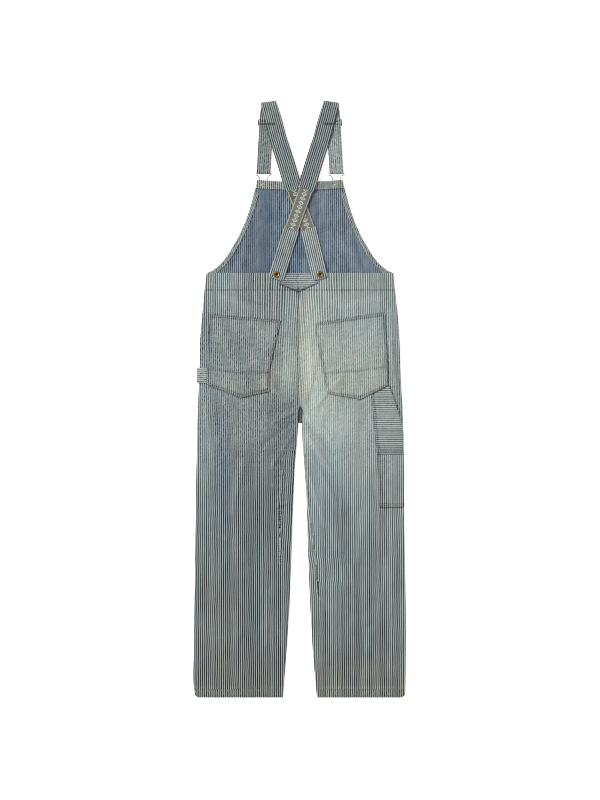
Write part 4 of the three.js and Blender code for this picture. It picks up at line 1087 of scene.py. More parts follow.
@dataclass
class Legs:
    """The backs, the fronts under them, and the turned leg ends."""

    body: Body
    home: dict[Side, float] = field(default_factory=lambda: {Side.LEFT: -150.0, Side.RIGHT: 150.0})

    def back(self, side: Side) -> Cloth:
        """One back, from its leg end to the waist."""
        y = np.concatenate(
            [steps(HEM_TOP_Y + GAP, 270, 4.0)[:-1], steps(270, 300, 2.0)[:-1], steps(300, WAIST_Y, 3.5)]
        )
        edges = self.body.outer(side, y), self.body.inner(side, y)
        rolls = self.body.rolls(y)
        if side is Side.RIGHT:
            edges, rolls = edges[::-1], rolls[::-1]
        grid = self.body.panel(*edges, y, rolls, self.body.height, 2.9)
        x, rows = grid[:, :, 0], grid[:, :, 1]
        grain = self.slanted(arc_grain(grid, self.home[side]), x, rows, side)
        cloth = Cloth(f"back_{side.value}", grid, grain, CLOTH, FADED_TWILL)
        cloth.wear_and_shade, cloth.tint = self.body.wear_and_shade(x, rows), self.body.tint(x, rows)
        cloth.rests_on = (f"front_{side.value}_cloth",)
        cloth.rows = self.back_rows(side)
        return cloth

    def slanted(self, grain: Array, x: Array, y: Array, side: Side) -> Array:
        """The front's cloth wraps over the inner edge as far as the inseam, with its stripes at a slant."""
        line = np.array(INSEAMS[side], float)[::-1]
        seam = np.interp(y, line[:, 1], line[:, 0])
        beyond = (np.abs(x) < np.abs(seam)) & (y < line[-1, 1])
        lean = 0.085 if side is Side.RIGHT else -0.05
        bias = 0.05 * side.sign * smooth(np.abs(x), 130, 0) * np.clip(y - BACK_CROTCH_Y, 0, None)
        pulled = 1.3 * cloud(x, y, 34, 60, 14.0) + 0.5 * cloud(x, y, 10, 22, 15.0)
        near = smooth(away_from(x, y, INSEAMS[side]), 20, 3) * self.body.seam_shown(side, y)
        gathered = 1.1 * cloud(x, y, 11, 15, 16.0) * near
        grain = grain.copy()
        grain[:, :, 0] = (
            grain[:, :, 0] + beyond * lean * np.clip(y - INSEAM_END_Y[side], 0, None) + bias + pulled
            + gathered
        )
        return grain

    def back_rows(self, side: Side) -> list[Array]:
        """Stitch rows of the waist edge, the centre seam and the inseam."""
        lines = []
        waist = steps(6 * side.sign, side.sign * 243, 3)
        lines.append(self.on_back(waist, np.full(len(waist), WAIST_STITCH_Y)))
        if side is Side.LEFT:
            y = steps(-8, 262, 3)
            lines += [self.on_back(np.full(len(y), x), y) for x in (-2.4, -7.4)]
        seam = np.array(INSEAMS[side], float)[::-1]
        y = steps(INSEAM_END_Y[side], seam[-1, 1], 4)
        for off in (0.0, 5.6):
            lines.append(
                self.on_back(np.interp(y, seam[:, 1], seam[:, 0]) - side.sign * off + side.sign * 2.8, y)
            )
        return lines

    def on_back(self, x: Array, y: Array) -> Array:
        """Points on the top of the backs."""
        return np.stack([x, y, self.body.height(x, y) + CLOTH / 2], axis=1)

    def front(self, side: Side) -> Cloth:
        """One front, flat on the surface, its side edges rolled up to the back's."""
        y = np.concatenate(
            [steps(HEM_TOP_Y + GAP, FRONT_CROTCH_Y - 1.3, 6.5), steps(FRONT_CROTCH_Y, BIB_SEAM_Y - GAP, 6.5)]
        )
        on_leg = y < FRONT_CROTCH_Y - 0.5
        inner = np.where(on_leg, self.body.inner(side, y), side.sign * GAP / 2)
        outer_roll, inner_roll = self.body.rolls(y)
        rolls = outer_roll, inner_roll * on_leg
        edges = self.body.outer(side, y), inner
        if side is Side.RIGHT:
            edges, rolls = edges[::-1], rolls[::-1]
        grid = self.body.panel(*edges, y, rolls, self.front_height, 5.5)
        grain = arc_grain(grid, self.home[side])
        cloth = Cloth(f"front_{side.value}", grid, grain, CLOTH, FADED_TWILL)
        # Painted shade on the front where it shows between the legs, under the crotch.
        between = (
            smooth(np.abs(grid[:, :, 0]), 24, 14) * smooth(grid[:, :, 1], -80, -66)
            * smooth(grid[:, :, 1], 20, 0)
        )
        cloth.wear_and_shade = self.body.fade(grid[:, :, 0], grid[:, :, 1]) - 0.9 * between
        cloth.tint = self.body.tint(grid[:, :, 0], grid[:, :, 1])
        cloth.rests_on = ("floor",)
        return cloth

    def front_height(self, x: Array, y: Array) -> Array:
        """Middle height of a front: flat, but for shallow creases that stand off the surface."""
        inside = smooth(np.abs(self.body.share(x, y) - 0.5), 0.42, 0.3)
        return CLOTH / 2 + np.clip(creases_at(FRONT_CREASES, x, y) * inside, 0, 0.9)

    def hem(self, side: Side) -> Cloth:
        """The turned end of a leg: a flattened tube that ripples with its stitching."""
        low, high = HEM_CLOTH / 2, CLOTH * 2 + EDGE_SPACE - HEM_CLOTH / 2
        reach, corner_start, corner_length, corner_rise = 1.6, 262.0, 12.5, 9.0
        down = np.linspace(0, 1, 9)
        y = HEM_TOP_Y + (HEM_END_Y - HEM_TOP_Y) * down
        ends = np.sort(np.stack([self.body.inner(side, y), self.body.outer(side, y)]), axis=0)
        left, right = ends[0] + HEM_CLOTH / 2 + reach, ends[1] - HEM_CLOTH / 2 - reach
        share = np.linspace(0, 1, 78)
        turn = np.radians(np.linspace(-90, 90, 8))
        across = left[:, None] + (right - left)[:, None] * share
        rope = 0.22 * np.sin(across / 2.1 + y[:, None] / 3.0) * np.sin(math.pi * down)[:, None] ** 0.5
        radius = (high - low) / 2
        parts = [
            (across[:, 1:-1], np.full_like(across[:, 1:-1], low)),
            (
                right[:, None] + reach * np.cos(turn),
                np.broadcast_to(low + radius * (1 + np.sin(turn)), (len(y), 8)),
            ),
            (across[:, -2:0:-1], high + rope[:, -2:0:-1]),
            (
                left[:, None] - reach * np.cos(turn),
                np.broadcast_to(low + radius * (1 + np.sin(turn[::-1])), (len(y), 8)),
            ),
        ]
        x = np.concatenate([part[0] for part in parts], axis=1)
        z = np.concatenate([part[1] for part in parts], axis=1)
        past = np.clip((np.abs(x) - corner_start) / corner_length, 0, 1)
        rows = y[:, None] + down[:, None] * corner_rise * past**2
        grid = np.stack([x, rows, z], axis=2)
        grain = np.stack([x, rows], axis=2)
        grain = np.concatenate([grain, grain[:, :1]], axis=1)
        cloth = Cloth(f"hem_{side.value}", grid, grain, HEM_CLOTH, FADED_TWILL)
        ticks = (
            np.sin(x / 1.15 + rows / 2.2 + 2.5 * cloud(x, rows, 26, 26, 32.0))
            * (0.7 + 0.6 * cloud(x, rows, 12, 40, 33.0))
        )
        worn = (
            0.26 * smooth(down, 0.72, 1.0)[:, None] + 0.2 * cloud(x, rows, 5, 7, 31.0) - 0.16
            + 0.36 * ticks
        )
        # Darker where the roping ticks are dark near the stitched top and towards the fold: painted shade in
        # the hem's hollows on top of the roping.
        groove = 0.45 * smooth(down, 0.22, 0.05) + 0.5 * smooth(down, 0.6, 0.95)
        cloth.wear_and_shade = (
            np.clip(self.body.fade(x, y[:, None]) + worn, 0, 1)
            - groove[:, None] * smooth(ticks, 0.3, -0.3)
        )
        cloth.tint = self.body.tint(x, y[:, None])
        cloth.rests_on, cloth.closed, cloth.thread = ("floor",), True, HEM_THREAD
        run = steps(float(left[1] + 3), float(right[1] - 3), 3)
        cloth.rows = [
            np.stack([run, run * 0 + HEM_TOP_Y - 2.2, run * 0 + high + HEM_CLOTH / 2 + 0.05], axis=1)
        ]
        return cloth

    def build(self) -> None:
        """Builds the fronts, the backs and the leg ends."""
        for side in Side:
            self.front(side).build()
            self.back(side).build()
            self.hem(side).build()


@dataclass
class Bib:
    """The bib, inside upwards, with its turned edges."""

    # y, half width
    rows: tuple[tuple[float, float], ...] = (
        (296, 245), (328, 242.5), (335, 225), (356, 201.5), (377, 185.8),
        (419, 161), (460, 142), (502, 127), (543, 115.5), (564.5, 110.5),
    )
    hem_y: float = 543.0
    corner_rise: float = 5.0
    side_hem: float = 11.5
    lift: float = 6.1
    lift_start_y: float = 440.0
    lift_full_y: float = 535.0
    middle_share: float = 0.55
    middle_half: float = 50.0
    button_flat: float = 82.0
    waves: tuple[Crease, ...] = (
        Crease(-118, 340, -104, 500, 22, 1.7),
        Crease(-152, 332, -132, 452, 15, 1.2),
        Crease(-196, 334, -172, 386, 14, 1.0),
        Crease(112, 344, 104, 490, 20, 1.5),
        Crease(146, 336, 128, 470, 16, 1.3),
        Crease(188, 334, 170, 392, 15, 1.1),
    )

    def half(self, y: Array) -> Array:
        """Half the bib's width at each y."""
        return column(self.rows, 0, 1)(y)

    def height(self, x: Array, y: Array) -> Array:
        """Middle height of the bib: it stands over its own buttons and waves at its sides."""
        middle = (
            self.middle_share
            + (1 - self.middle_share) * smooth(np.abs(x), self.middle_half, self.button_flat)
        )
        stand = self.lift * middle * smooth(y, self.lift_start_y, self.lift_full_y)
        clear = smooth(np.abs(x), 66, 96) * smooth(y, 330, 350) * smooth(y, 520, 470)
        wave = np.clip(creases_at(self.waves, x, y) + 0.3 * cloud(x, y, 24, 60, 41.0), 0, 3) * clear
        return CLOTH / 2 + stand + wave

    def grid(self, y: Array, shares: Array, off: float) -> Array:
        """Points of the bib's rows, off millimetres above its middle, rising to the top corners."""
        x = shares[None, :] * self.half(y)[:, None]
        rise = self.corner_rise * shares[None, :] ** 2 * smooth(y, self.lift_start_y, BIB_TOP_Y)[:, None]
        rows = y[:, None] + rise
        level = np.broadcast_to(y[:, None], x.shape)
        return np.stack([x, rows, self.height(x, level) + off], axis=2)

    def panel(self) -> Cloth:
        """The bib's one piece."""
        y = np.concatenate(
            [steps(BIB_SEAM_Y, 328, 4)[:-1], steps(328, 460, 3.3)[:-1], steps(460, BIB_TOP_Y, 4)]
        )
        grid = self.grid(y, np.linspace(-1, 1, 121), 0.0)
        x, rows = grid[:, :, 0], grid[:, :, 1]
        cloth = Cloth("bib", grid, grid[:, :, :2], CLOTH, INSIDE_TWILL)
        # Darker along the straps and beside them: painted shade of the straps.
        straps = (
            smooth(np.abs(np.abs(x) - np.interp(rows, (330, 442, 500), (58, 22, 0))), 34, 16)
            * smooth(rows, 540, 520)
        )
        # A darker line along the lower edge of the top hem: painted shade.
        shade_under_hem = smooth(np.abs(y[:, None] - self.hem_y + 1.5), 3.4, 1.2)
        base = 0.15 + 0.2 * smooth(x, 10, 75) - 0.16 * straps - 0.4 * shade_under_hem
        cloth.wear_and_shade = np.clip(
            base + 0.38 * cloud(x, rows, 24, 60, 51.0) + 0.26 * cloud(x, rows, 8, 26, 52.0), 0, 1
        )
        cloth.tint = np.clip(0.45 + 0.5 * cloud(x, rows, 50, 70, 53.0), -1, 1)
        cloth.rests_on = ("floor",)
        return cloth

    def top_hem(self) -> Cloth:
        """The top edge turned to the inside."""
        y = steps(self.hem_y, BIB_TOP_Y, 2.6)
        grid = self.grid(y, np.linspace(-1, 1, 81), CLOTH + GAP)
        x = grid[:, :, 0]
        grid[:, :, 2] += 0.14 * np.sin(x / 2.3) * smooth(np.abs(y - self.hem_y - 4), 6, 1)[:, None]
        cloth = Cloth("bib_top_hem", grid, grid[:, :, :2], CLOTH, TRIM_TWILL)
        cloth.wear_and_shade = np.clip(
            0.26 + 0.3 * cloud(x, grid[:, :, 1], 9, 9, 61.0) + 0.16 * smooth(y, 559, 564)[:, None], 0, 1
        )
        cloth.tint = -0.2
        cloth.rests_on = ("bib_cloth",)
        for off in (2.2, 6.2, 16.0):
            edge = self.grid(
                np.array([self.hem_y + off, self.hem_y + off + 0.1]),
                np.linspace(-0.98, 0.98, 60),
                CLOTH + GAP,
            )
            cloth.rows.append(edge[0] + (0, 0, CLOTH / 2))
        return cloth

    def side_hem_cloth(self, side: Side) -> Cloth:
        """The narrow turned edge of one side, its stripes on the bias."""
        y = steps(329, 538, 3.0)
        slope = (self.half(y + 5) - self.half(y - 5)) / 10
        run = np.stack([slope, np.ones_like(slope)], axis=1)
        run /= np.linalg.norm(run, axis=1)[:, None]
        reach = np.linspace(0, self.side_hem, 6)
        x = self.half(y)[:, None] - run[:, 1:2] * reach
        rows = y[:, None] + run[:, :1] * reach
        z = self.height(side.sign * x, rows) + CLOTH / 2 + GAP + TRIM_CLOTH / 2 + 0.1
        grid = np.stack([side.sign * x, rows, z], axis=2)
        length = run_along(grid[:, 0, :2])
        grain = np.stack([(length[:, None] + reach) * 0.707, (length[:, None] - reach) * 0.707], axis=2)
        node = f"bib_side_hem_{side.value}"
        cloth = Cloth(node, grid, grain, TRIM_CLOTH, TRIM_TWILL)
        cloth.wear_and_shade = np.clip(0.2 + 0.4 * cloud(x, rows, 6, 6, 71.0), 0, 1)
        cloth.tint = -0.1
        cloth.rests_on = ("bib_cloth",)
        for column_at in (1, 4):
            cloth.rows.append(grid[:, column_at] + (0, 0, TRIM_CLOTH / 2))
        return cloth

    def build(self) -> None:
        """Builds the bib and its turned edges."""
        self.panel().build()
        self.top_hem().build()
        for side in Side:
            self.side_hem_cloth(side).build()


# ---------------------------------------------------------------- patches on the backs
@dataclass
class Patches:
    """The waist insert, the back pockets, the tool pocket and the hammer loop."""

    body: Body
    # x0, x1, y0, y1, and how far the row follows the side fold
    slanted_rows: tuple[tuple[float, ...], ...] = (
        (187, 233, 9.5, 34.2, 0),
        (189, 243, -13, 4, 0),
        (191.5, 252.5, -35, -26, 0),
        (194, 261.5, -56, -54, 0),
        (195, 266.4, -75, -75, 0.3),
        (196, 266.6, -84, -84, 0.65),
        (197, 266.6, -93, -93, 1),
    )
    tool_seam_y: float = -146.0
    tool_end_y: float = -281.0
    tool_left: tuple[tuple[float, float], ...] = ((-281, 207.5), (-146, 201.5), (-76, 195))

    def laid(
        self, rows: Sequence[PatchRow], thickness: float, pitch: float, puff: float
    ) -> tuple[Array, ...]:
        """Grid of a patch on the backs, from its last row up, with its two shares.

        Args:
            rows: the patch's rows from the top.
            thickness: its cloth.
            pitch: the spacing of its points.
            puff: how far its middle stands off the back.

        Returns:
            The grid and the shares up and across it.
        """
        rows = rows[::-1]
        sides = np.array([(r.x0, r.y0, r.x1, r.y1, r.dip) for r in rows], float)
        tall = np.linalg.norm(np.diff(sides[:, :2], axis=0), axis=1)
        counts = np.ceil(tall / pitch).astype(int)
        down = np.concatenate([*(i + np.arange(n) / n for i, n in enumerate(counts)), [len(rows) - 1.0]])
        number = np.arange(len(rows))
        table = np.stack([np.interp(down, number, sides[:, k]) for k in range(5)], axis=1)
        at = rows[0].at
        wide = abs(rows[0].x1 - rows[0].x0)
        shares = np.unique(np.concatenate([steps(0, at, pitch / wide), steps(at, 1, pitch / wide)]))
        bend = np.where(shares < at, shares / at, (1 - shares) / (1 - at))
        x = table[:, :1] + (table[:, 2:3] - table[:, :1]) * shares
        y = table[:, 1:2] + (table[:, 3:4] - table[:, 1:2]) * shares - table[:, 4:5] * bend
        run = np.concatenate(
            [[0], np.cumsum(np.diff(down) * tall[np.minimum(down[:-1].astype(int), len(tall) - 1)])]
        )
        up = run / run[-1]
        swell = (
            np.sin(math.pi * shares)[None, :] ** 0.7
            * np.clip(1.25 * np.sin(math.pi * (0.12 + 0.8 * up)), 0, 1)[:, None]
        )
        z = self.body.height(x, y) + CLOTH / 2 + GAP + thickness / 2 + puff * swell
        return np.stack([x, y, z], axis=2), up, shares

    def waist_insert(self) -> Cloth:
        """The insert between the back buttons, its stripes across."""
        grid, up, _ = self.laid(INSERT_ROWS, TRIM_CLOTH, 2.2, 0.0)
        x, y = grid[:, :, 0], grid[:, :, 1]
        cloth = Cloth("waist_insert", grid, np.stack([y, x], axis=2), TRIM_CLOTH, FADED_TWILL)
        # Darker along its lower edge: painted shade.
        cloth.wear_and_shade = self.body.wear_and_shade(x, y) - 0.3 * smooth(up, 0.14, 0.04)[:, None]
        cloth.tint = self.body.tint(x, y)
        cloth.rests_on = ("back_left_cloth", "back_right_cloth")
        for row in (1, 3):
            cloth.rows.append(grid[row, 1:-1] + (0, 0, TRIM_CLOTH / 2))
        line = steps(300, 324, 2)
        top = self.body.height(line * 0 - 16, line) + CLOTH / 2 + GAP + TRIM_CLOTH
        cloth.rows.append(np.stack([line * 0 - 16, line, top], axis=1))
        cloth.thread = DARK_THREAD
        return cloth

    def pocket(self, side: Side) -> Cloth:
        """A back patch pocket with its double-stitched edges and the stitched line of its lower part."""
        grid, up, shares = self.laid(POCKET_ROWS[side], CLOTH, 2.9, 1.2)
        x, y = grid[:, :, 0], grid[:, :, 1]
        lean = math.radians(1.6 * side.sign)
        grain = np.stack(
            [x * math.cos(lean) + y * math.sin(lean) + 1.6, y * math.cos(lean) - x * math.sin(lean)], axis=2
        )
        node = f"back_pocket_{side.value}"
        cloth = Cloth(node, grid, grain, CLOTH, FADED_TWILL)
        wide, tall = np.ptp(x[-1]), np.ptp(y[:, 0])
        in_x = np.minimum(shares, 1 - shares)[None, :] * wide
        in_y = np.minimum(up, 1 - up)[:, None] * tall
        inside = np.minimum(in_x, in_y)
        # Lighter at the worn edge; darker between the two stitch rows and along the band's stitching: partly
        # indigo kept there, partly painted shade of the stitched hollows.
        rim = 0.12 * smooth(inside, 1.6, 0) - 0.46 * smooth(np.abs(inside - 4.4), 3.2, 1.2)
        band = np.interp(POCKET_ROWS[side][1].y0, (y[0, 0], y[-1, 0]), (0, 1))
        low = 0.04 * smooth(up, band + 0.02, band - 0.02)[:, None]
        rim = rim - 0.4 * smooth(np.abs(up - band) * tall, 4, 1)[:, None]
        cloth.wear_and_shade = self.body.wear_and_shade(x, y) + low + 0.08 * cloud(x, y, 12, 12, 81.0) + rim
        cloth.tint = np.clip(
            self.body.tint(x, y) - 0.3 * smooth(up, band + 0.02, band - 0.02)[:, None], -1, 1
        )
        cloth.rests_on = (f"back_{side.value}_cloth",)
        cloth.rows = self.rows_inside(grid, up, shares, (2.4, 6.6), wide, tall, CLOTH)
        for off in (0.0, -5.0):
            cloth.rows.append(self.row_at(grid, up, band + off / tall, 0.03, 0.97, CLOTH))
        return cloth

    def row_at(
        self, grid: Array, up: Array, share: float, start: float, end: float, cloth: float
    ) -> Array:
        """A line of points across a patch at a share of its height, on top of its cloth."""
        row = np.interp(share, up, np.arange(len(up)))
        over = np.linspace(start, end, 60) * (grid.shape[1] - 1)
        return refined(grid, np.array([row]), over)[0] + (0, 0, cloth / 2)

    def rows_inside(
        self, grid: Array, up: Array, shares: Array, insets: Sequence[float], wide: float, tall: float,
        cloth: float,
    ) -> list[Array]:
        """Stitch rows parallel to the edges of a patch, one for each inset."""
        lines = []
        for inset in insets:
            s, t = inset / tall, inset / wide
            lines.append(self.row_at(grid, up, s, t, 1 - t, cloth))
            lines.append(self.row_at(grid, up, 1 - s, t, 1 - t, cloth))
            rise = np.interp(np.linspace(s, 1 - s, 60), up, np.arange(len(up)))
            for share in (t, 1 - t):
                over = np.array([np.interp(share, shares, np.arange(len(shares)))])
                lines.append(refined(grid, rise, over)[:, 0] + (0, 0, cloth / 2))
        return lines

    def tool_row(self, x0: float, x1: float, y0: float, y1: float, turn: float) -> Array:
        """Points of one tool pocket row, whose last columns follow the side fold by turn."""
        lift = GAP + CLOTH
        edge = float(self.body.outer(Side.RIGHT, y1))
        fold = edge - CLOTH / 2 - ROLL_REACH
        share = np.linspace(0, 1, 6)[:-1]
        x, y = x0 + (x1 - 3 - x0) * share, y0 + (y1 - y0) * share
        if turn == 0:
            x = np.concatenate([x, x1 - np.array([2.4, 1.6, 0.8, 0])])
            y = np.concatenate([y, np.full(4, y1)])
            return np.stack([x, y, self.body.height(x, y) + lift], axis=1)
        flat = np.stack([x, y, self.body.height(x, y) + lift], axis=1)
        angles = 90 - turn * np.array([0.0, 30.0, 60.0, 90.0])
        px, pz = self.body.roll(
            edge, -1, 1.0, self.body.height(np.array(fold), np.array(y1)), angles, lift + 0.1
        )
        return np.concatenate([flat, np.stack([px, np.full(4, y1), pz], axis=1)])

    def tool_pocket(self, upper: bool) -> Cloth:
        """One piece of the tool pocket, laid round the side fold."""
        left = column(self.tool_left, 0, 1)
        square = [
            (float(left(y)), float(self.body.outer(Side.RIGHT, y)) - CLOTH / 2 - ROLL_REACH, y, y, 1.0)
            for y in (
                (-120, self.tool_seam_y + GAP) if upper else steps(self.tool_seam_y, self.tool_end_y, 27)
            )
        ]
        table = [*self.slanted_rows, *square] if upper else square
        coarse = np.array([self.tool_row(*row) for row in table])[::-1]
        down = np.linspace(0, len(coarse) - 1, 54 if upper else 46)
        over = np.concatenate([np.linspace(0, 5, 21)[:-1], np.linspace(5, 8, 7)])
        grid = refined(coarse, down, over)
        flat = over < 5
        x, y = grid[:, :, 0], grid[:, :, 1]
        grid[:, flat, 2] = self.body.height(x[:, flat], y[:, flat]) + GAP + CLOTH
        swell = (
            np.sin(math.pi * np.linspace(0, 1, len(down)))[:, None] ** 0.6
            * np.sin(math.pi * over / 8)[None, :] ** 0.8
        )
        grid[:, :, 2] += (0.9 if upper else 0.7) * swell * (over < 5)
        run = run_along(grid, 1)
        across = x[:, :1] + run
        node = "tool_pocket_upper" if upper else "tool_pocket_lower"
        grain = np.stack([y, across] if upper else [across, y], axis=2)
        cloth = Cloth(node, grid, grain, CLOTH, FADED_TWILL)
        share = np.linspace(0, 1, len(down))[:, None]
        inside = np.minimum(run, 400)
        # Lighter at the worn edge; darker between the two stitch rows and along the end row: partly indigo
        # kept there, partly painted shade of the stitched hollows.
        rim = 0.12 * smooth(inside, 1.6, 0) - 0.5 * smooth(np.abs(inside - 4.4), 3.2, 1.2)
        end = -0.30 * smooth(np.abs(share - (0.04 if upper else 0.05)), 0.04, 0.01)
        cloth.wear_and_shade = (
            self.body.wear_and_shade(np.minimum(x, 240), y) * 0.7 + 0.12 + rim + end
            + 0.1 * cloud(x, y, 14, 14, 91.0)
        )
        cloth.tint = self.body.tint(x, y)
        cloth.rests_on = ("back_right_cloth",)
        top = (0, 0, CLOTH / 2)
        tall = abs(float(y[-1, 0] - y[0, 0]))
        for inset in (2.4, 6.6):
            column_at = np.array([inset / float(run[0, 20]) * 20])
            rise = np.linspace(0.03, 0.97, 60) * (len(down) - 1)
            cloth.rows.append(refined(grid, rise, column_at)[:, 0] + top)
            ends = [inset / tall] if not upper else [1 - inset / tall]
            for place in ends:
                cloth.rows.append(
                    refined(grid, np.array([place * (len(down) - 1)]), np.linspace(0.6, 19.5, 50))[0] + top
                )
            if upper:
                slope = np.linspace(0.46, 0.97, 50) * (len(down) - 1)
                cloth.rows.append(refined(grid, slope, np.array([19.8 - inset * 0.45]))[:, 0] + top)
        return cloth

    def hammer_loop(self) -> Cloth:
        """The loop that leaves the left pocket and is caught at the side."""
        y, width, start, reach = 61.0, 39.0, -241.6, 7.2
        edge = float(self.body.outer(Side.LEFT, y))
        top = float(self.body.height(np.array(start), np.array(y))) + CLOTH / 2 + GAP + CLOTH / 2
        section = np.array([
            (start, top),
            (start - 8, top + 0.1),
            (edge + 4, top + 0.1),
            (edge - 2.5, top - 0.3),
            (edge - reach + 1.6, top - 1.3),
            (edge - reach + 0.6, SEAM_Z + 0.4),
            (edge - reach + 1.2, SEAM_Z - 0.7),
            (edge - 3.4, SEAM_Z - 1.3),
            (edge - 1, SEAM_Z - 1.2),
        ])
        path = softened(section, 1.0, 2)
        rows = steps(y - width / 2, y + width / 2, 3)
        x = np.broadcast_to(path[None, :, 0], (len(rows), len(path)))
        z = np.broadcast_to(path[None, :, 1], x.shape)
        grid = np.stack([x, np.broadcast_to(rows[:, None], x.shape), z], axis=2)[:, ::-1]
        run = run_along(path)[::-1]
        grain = np.stack([grid[:, :, 1] + 1.1, np.broadcast_to(run, x.shape)], axis=2)
        cloth = Cloth("hammer_loop", grid, grain, CLOTH, TRIM_TWILL)
        cloth.wear_and_shade = np.clip(0.45 + 0.25 * cloud(grid[:, :, 0], grid[:, :, 1], 9, 9, 95.0), 0, 1)
        cloth.rests_on = ("back_left_cloth",)
        for row in (1, len(rows) - 2):
            cloth.rows.append(grid[row, 8:] + (0, 0, CLOTH / 2))
        return cloth

    def build(self) -> None:
        """Builds all the pieces on the backs."""
        self.waist_insert().build()
        for side in Side:
            self.pocket(side).build()
        self.tool_pocket(upper=True).build()
        self.tool_pocket(upper=False).build()
        self.hammer_loop().build()


def softened(points: Array, pitch: float, passes: int) -> Array:
    """A line of points resampled evenly and rounded a little, its ends kept.

    Args:
        points: n x k numbers, of which the first two or three are a place.
        pitch: the new spacing.
        passes: how many times each point is moved towards its neighbours' middle.

    Returns:
        m x k numbers.
    """
    run = run_along(points[:, :3])
    at = steps(0, run[-1], pitch)
    line = np.stack([np.interp(at, run, points[:, k]) for k in range(points.shape[1])], axis=1)
    for _ in range(passes):
        line[1:-1] = line[1:-1] / 2 + (line[:-2] + line[2:]) / 4
    return line


# ---------------------------------------------------------------- straps
class Station(NamedTuple):
    """A place along a strap: its middle, its width and its lean from +Y in degrees."""

    x: float
    y: float
    height: float
    width: float
    lean: float


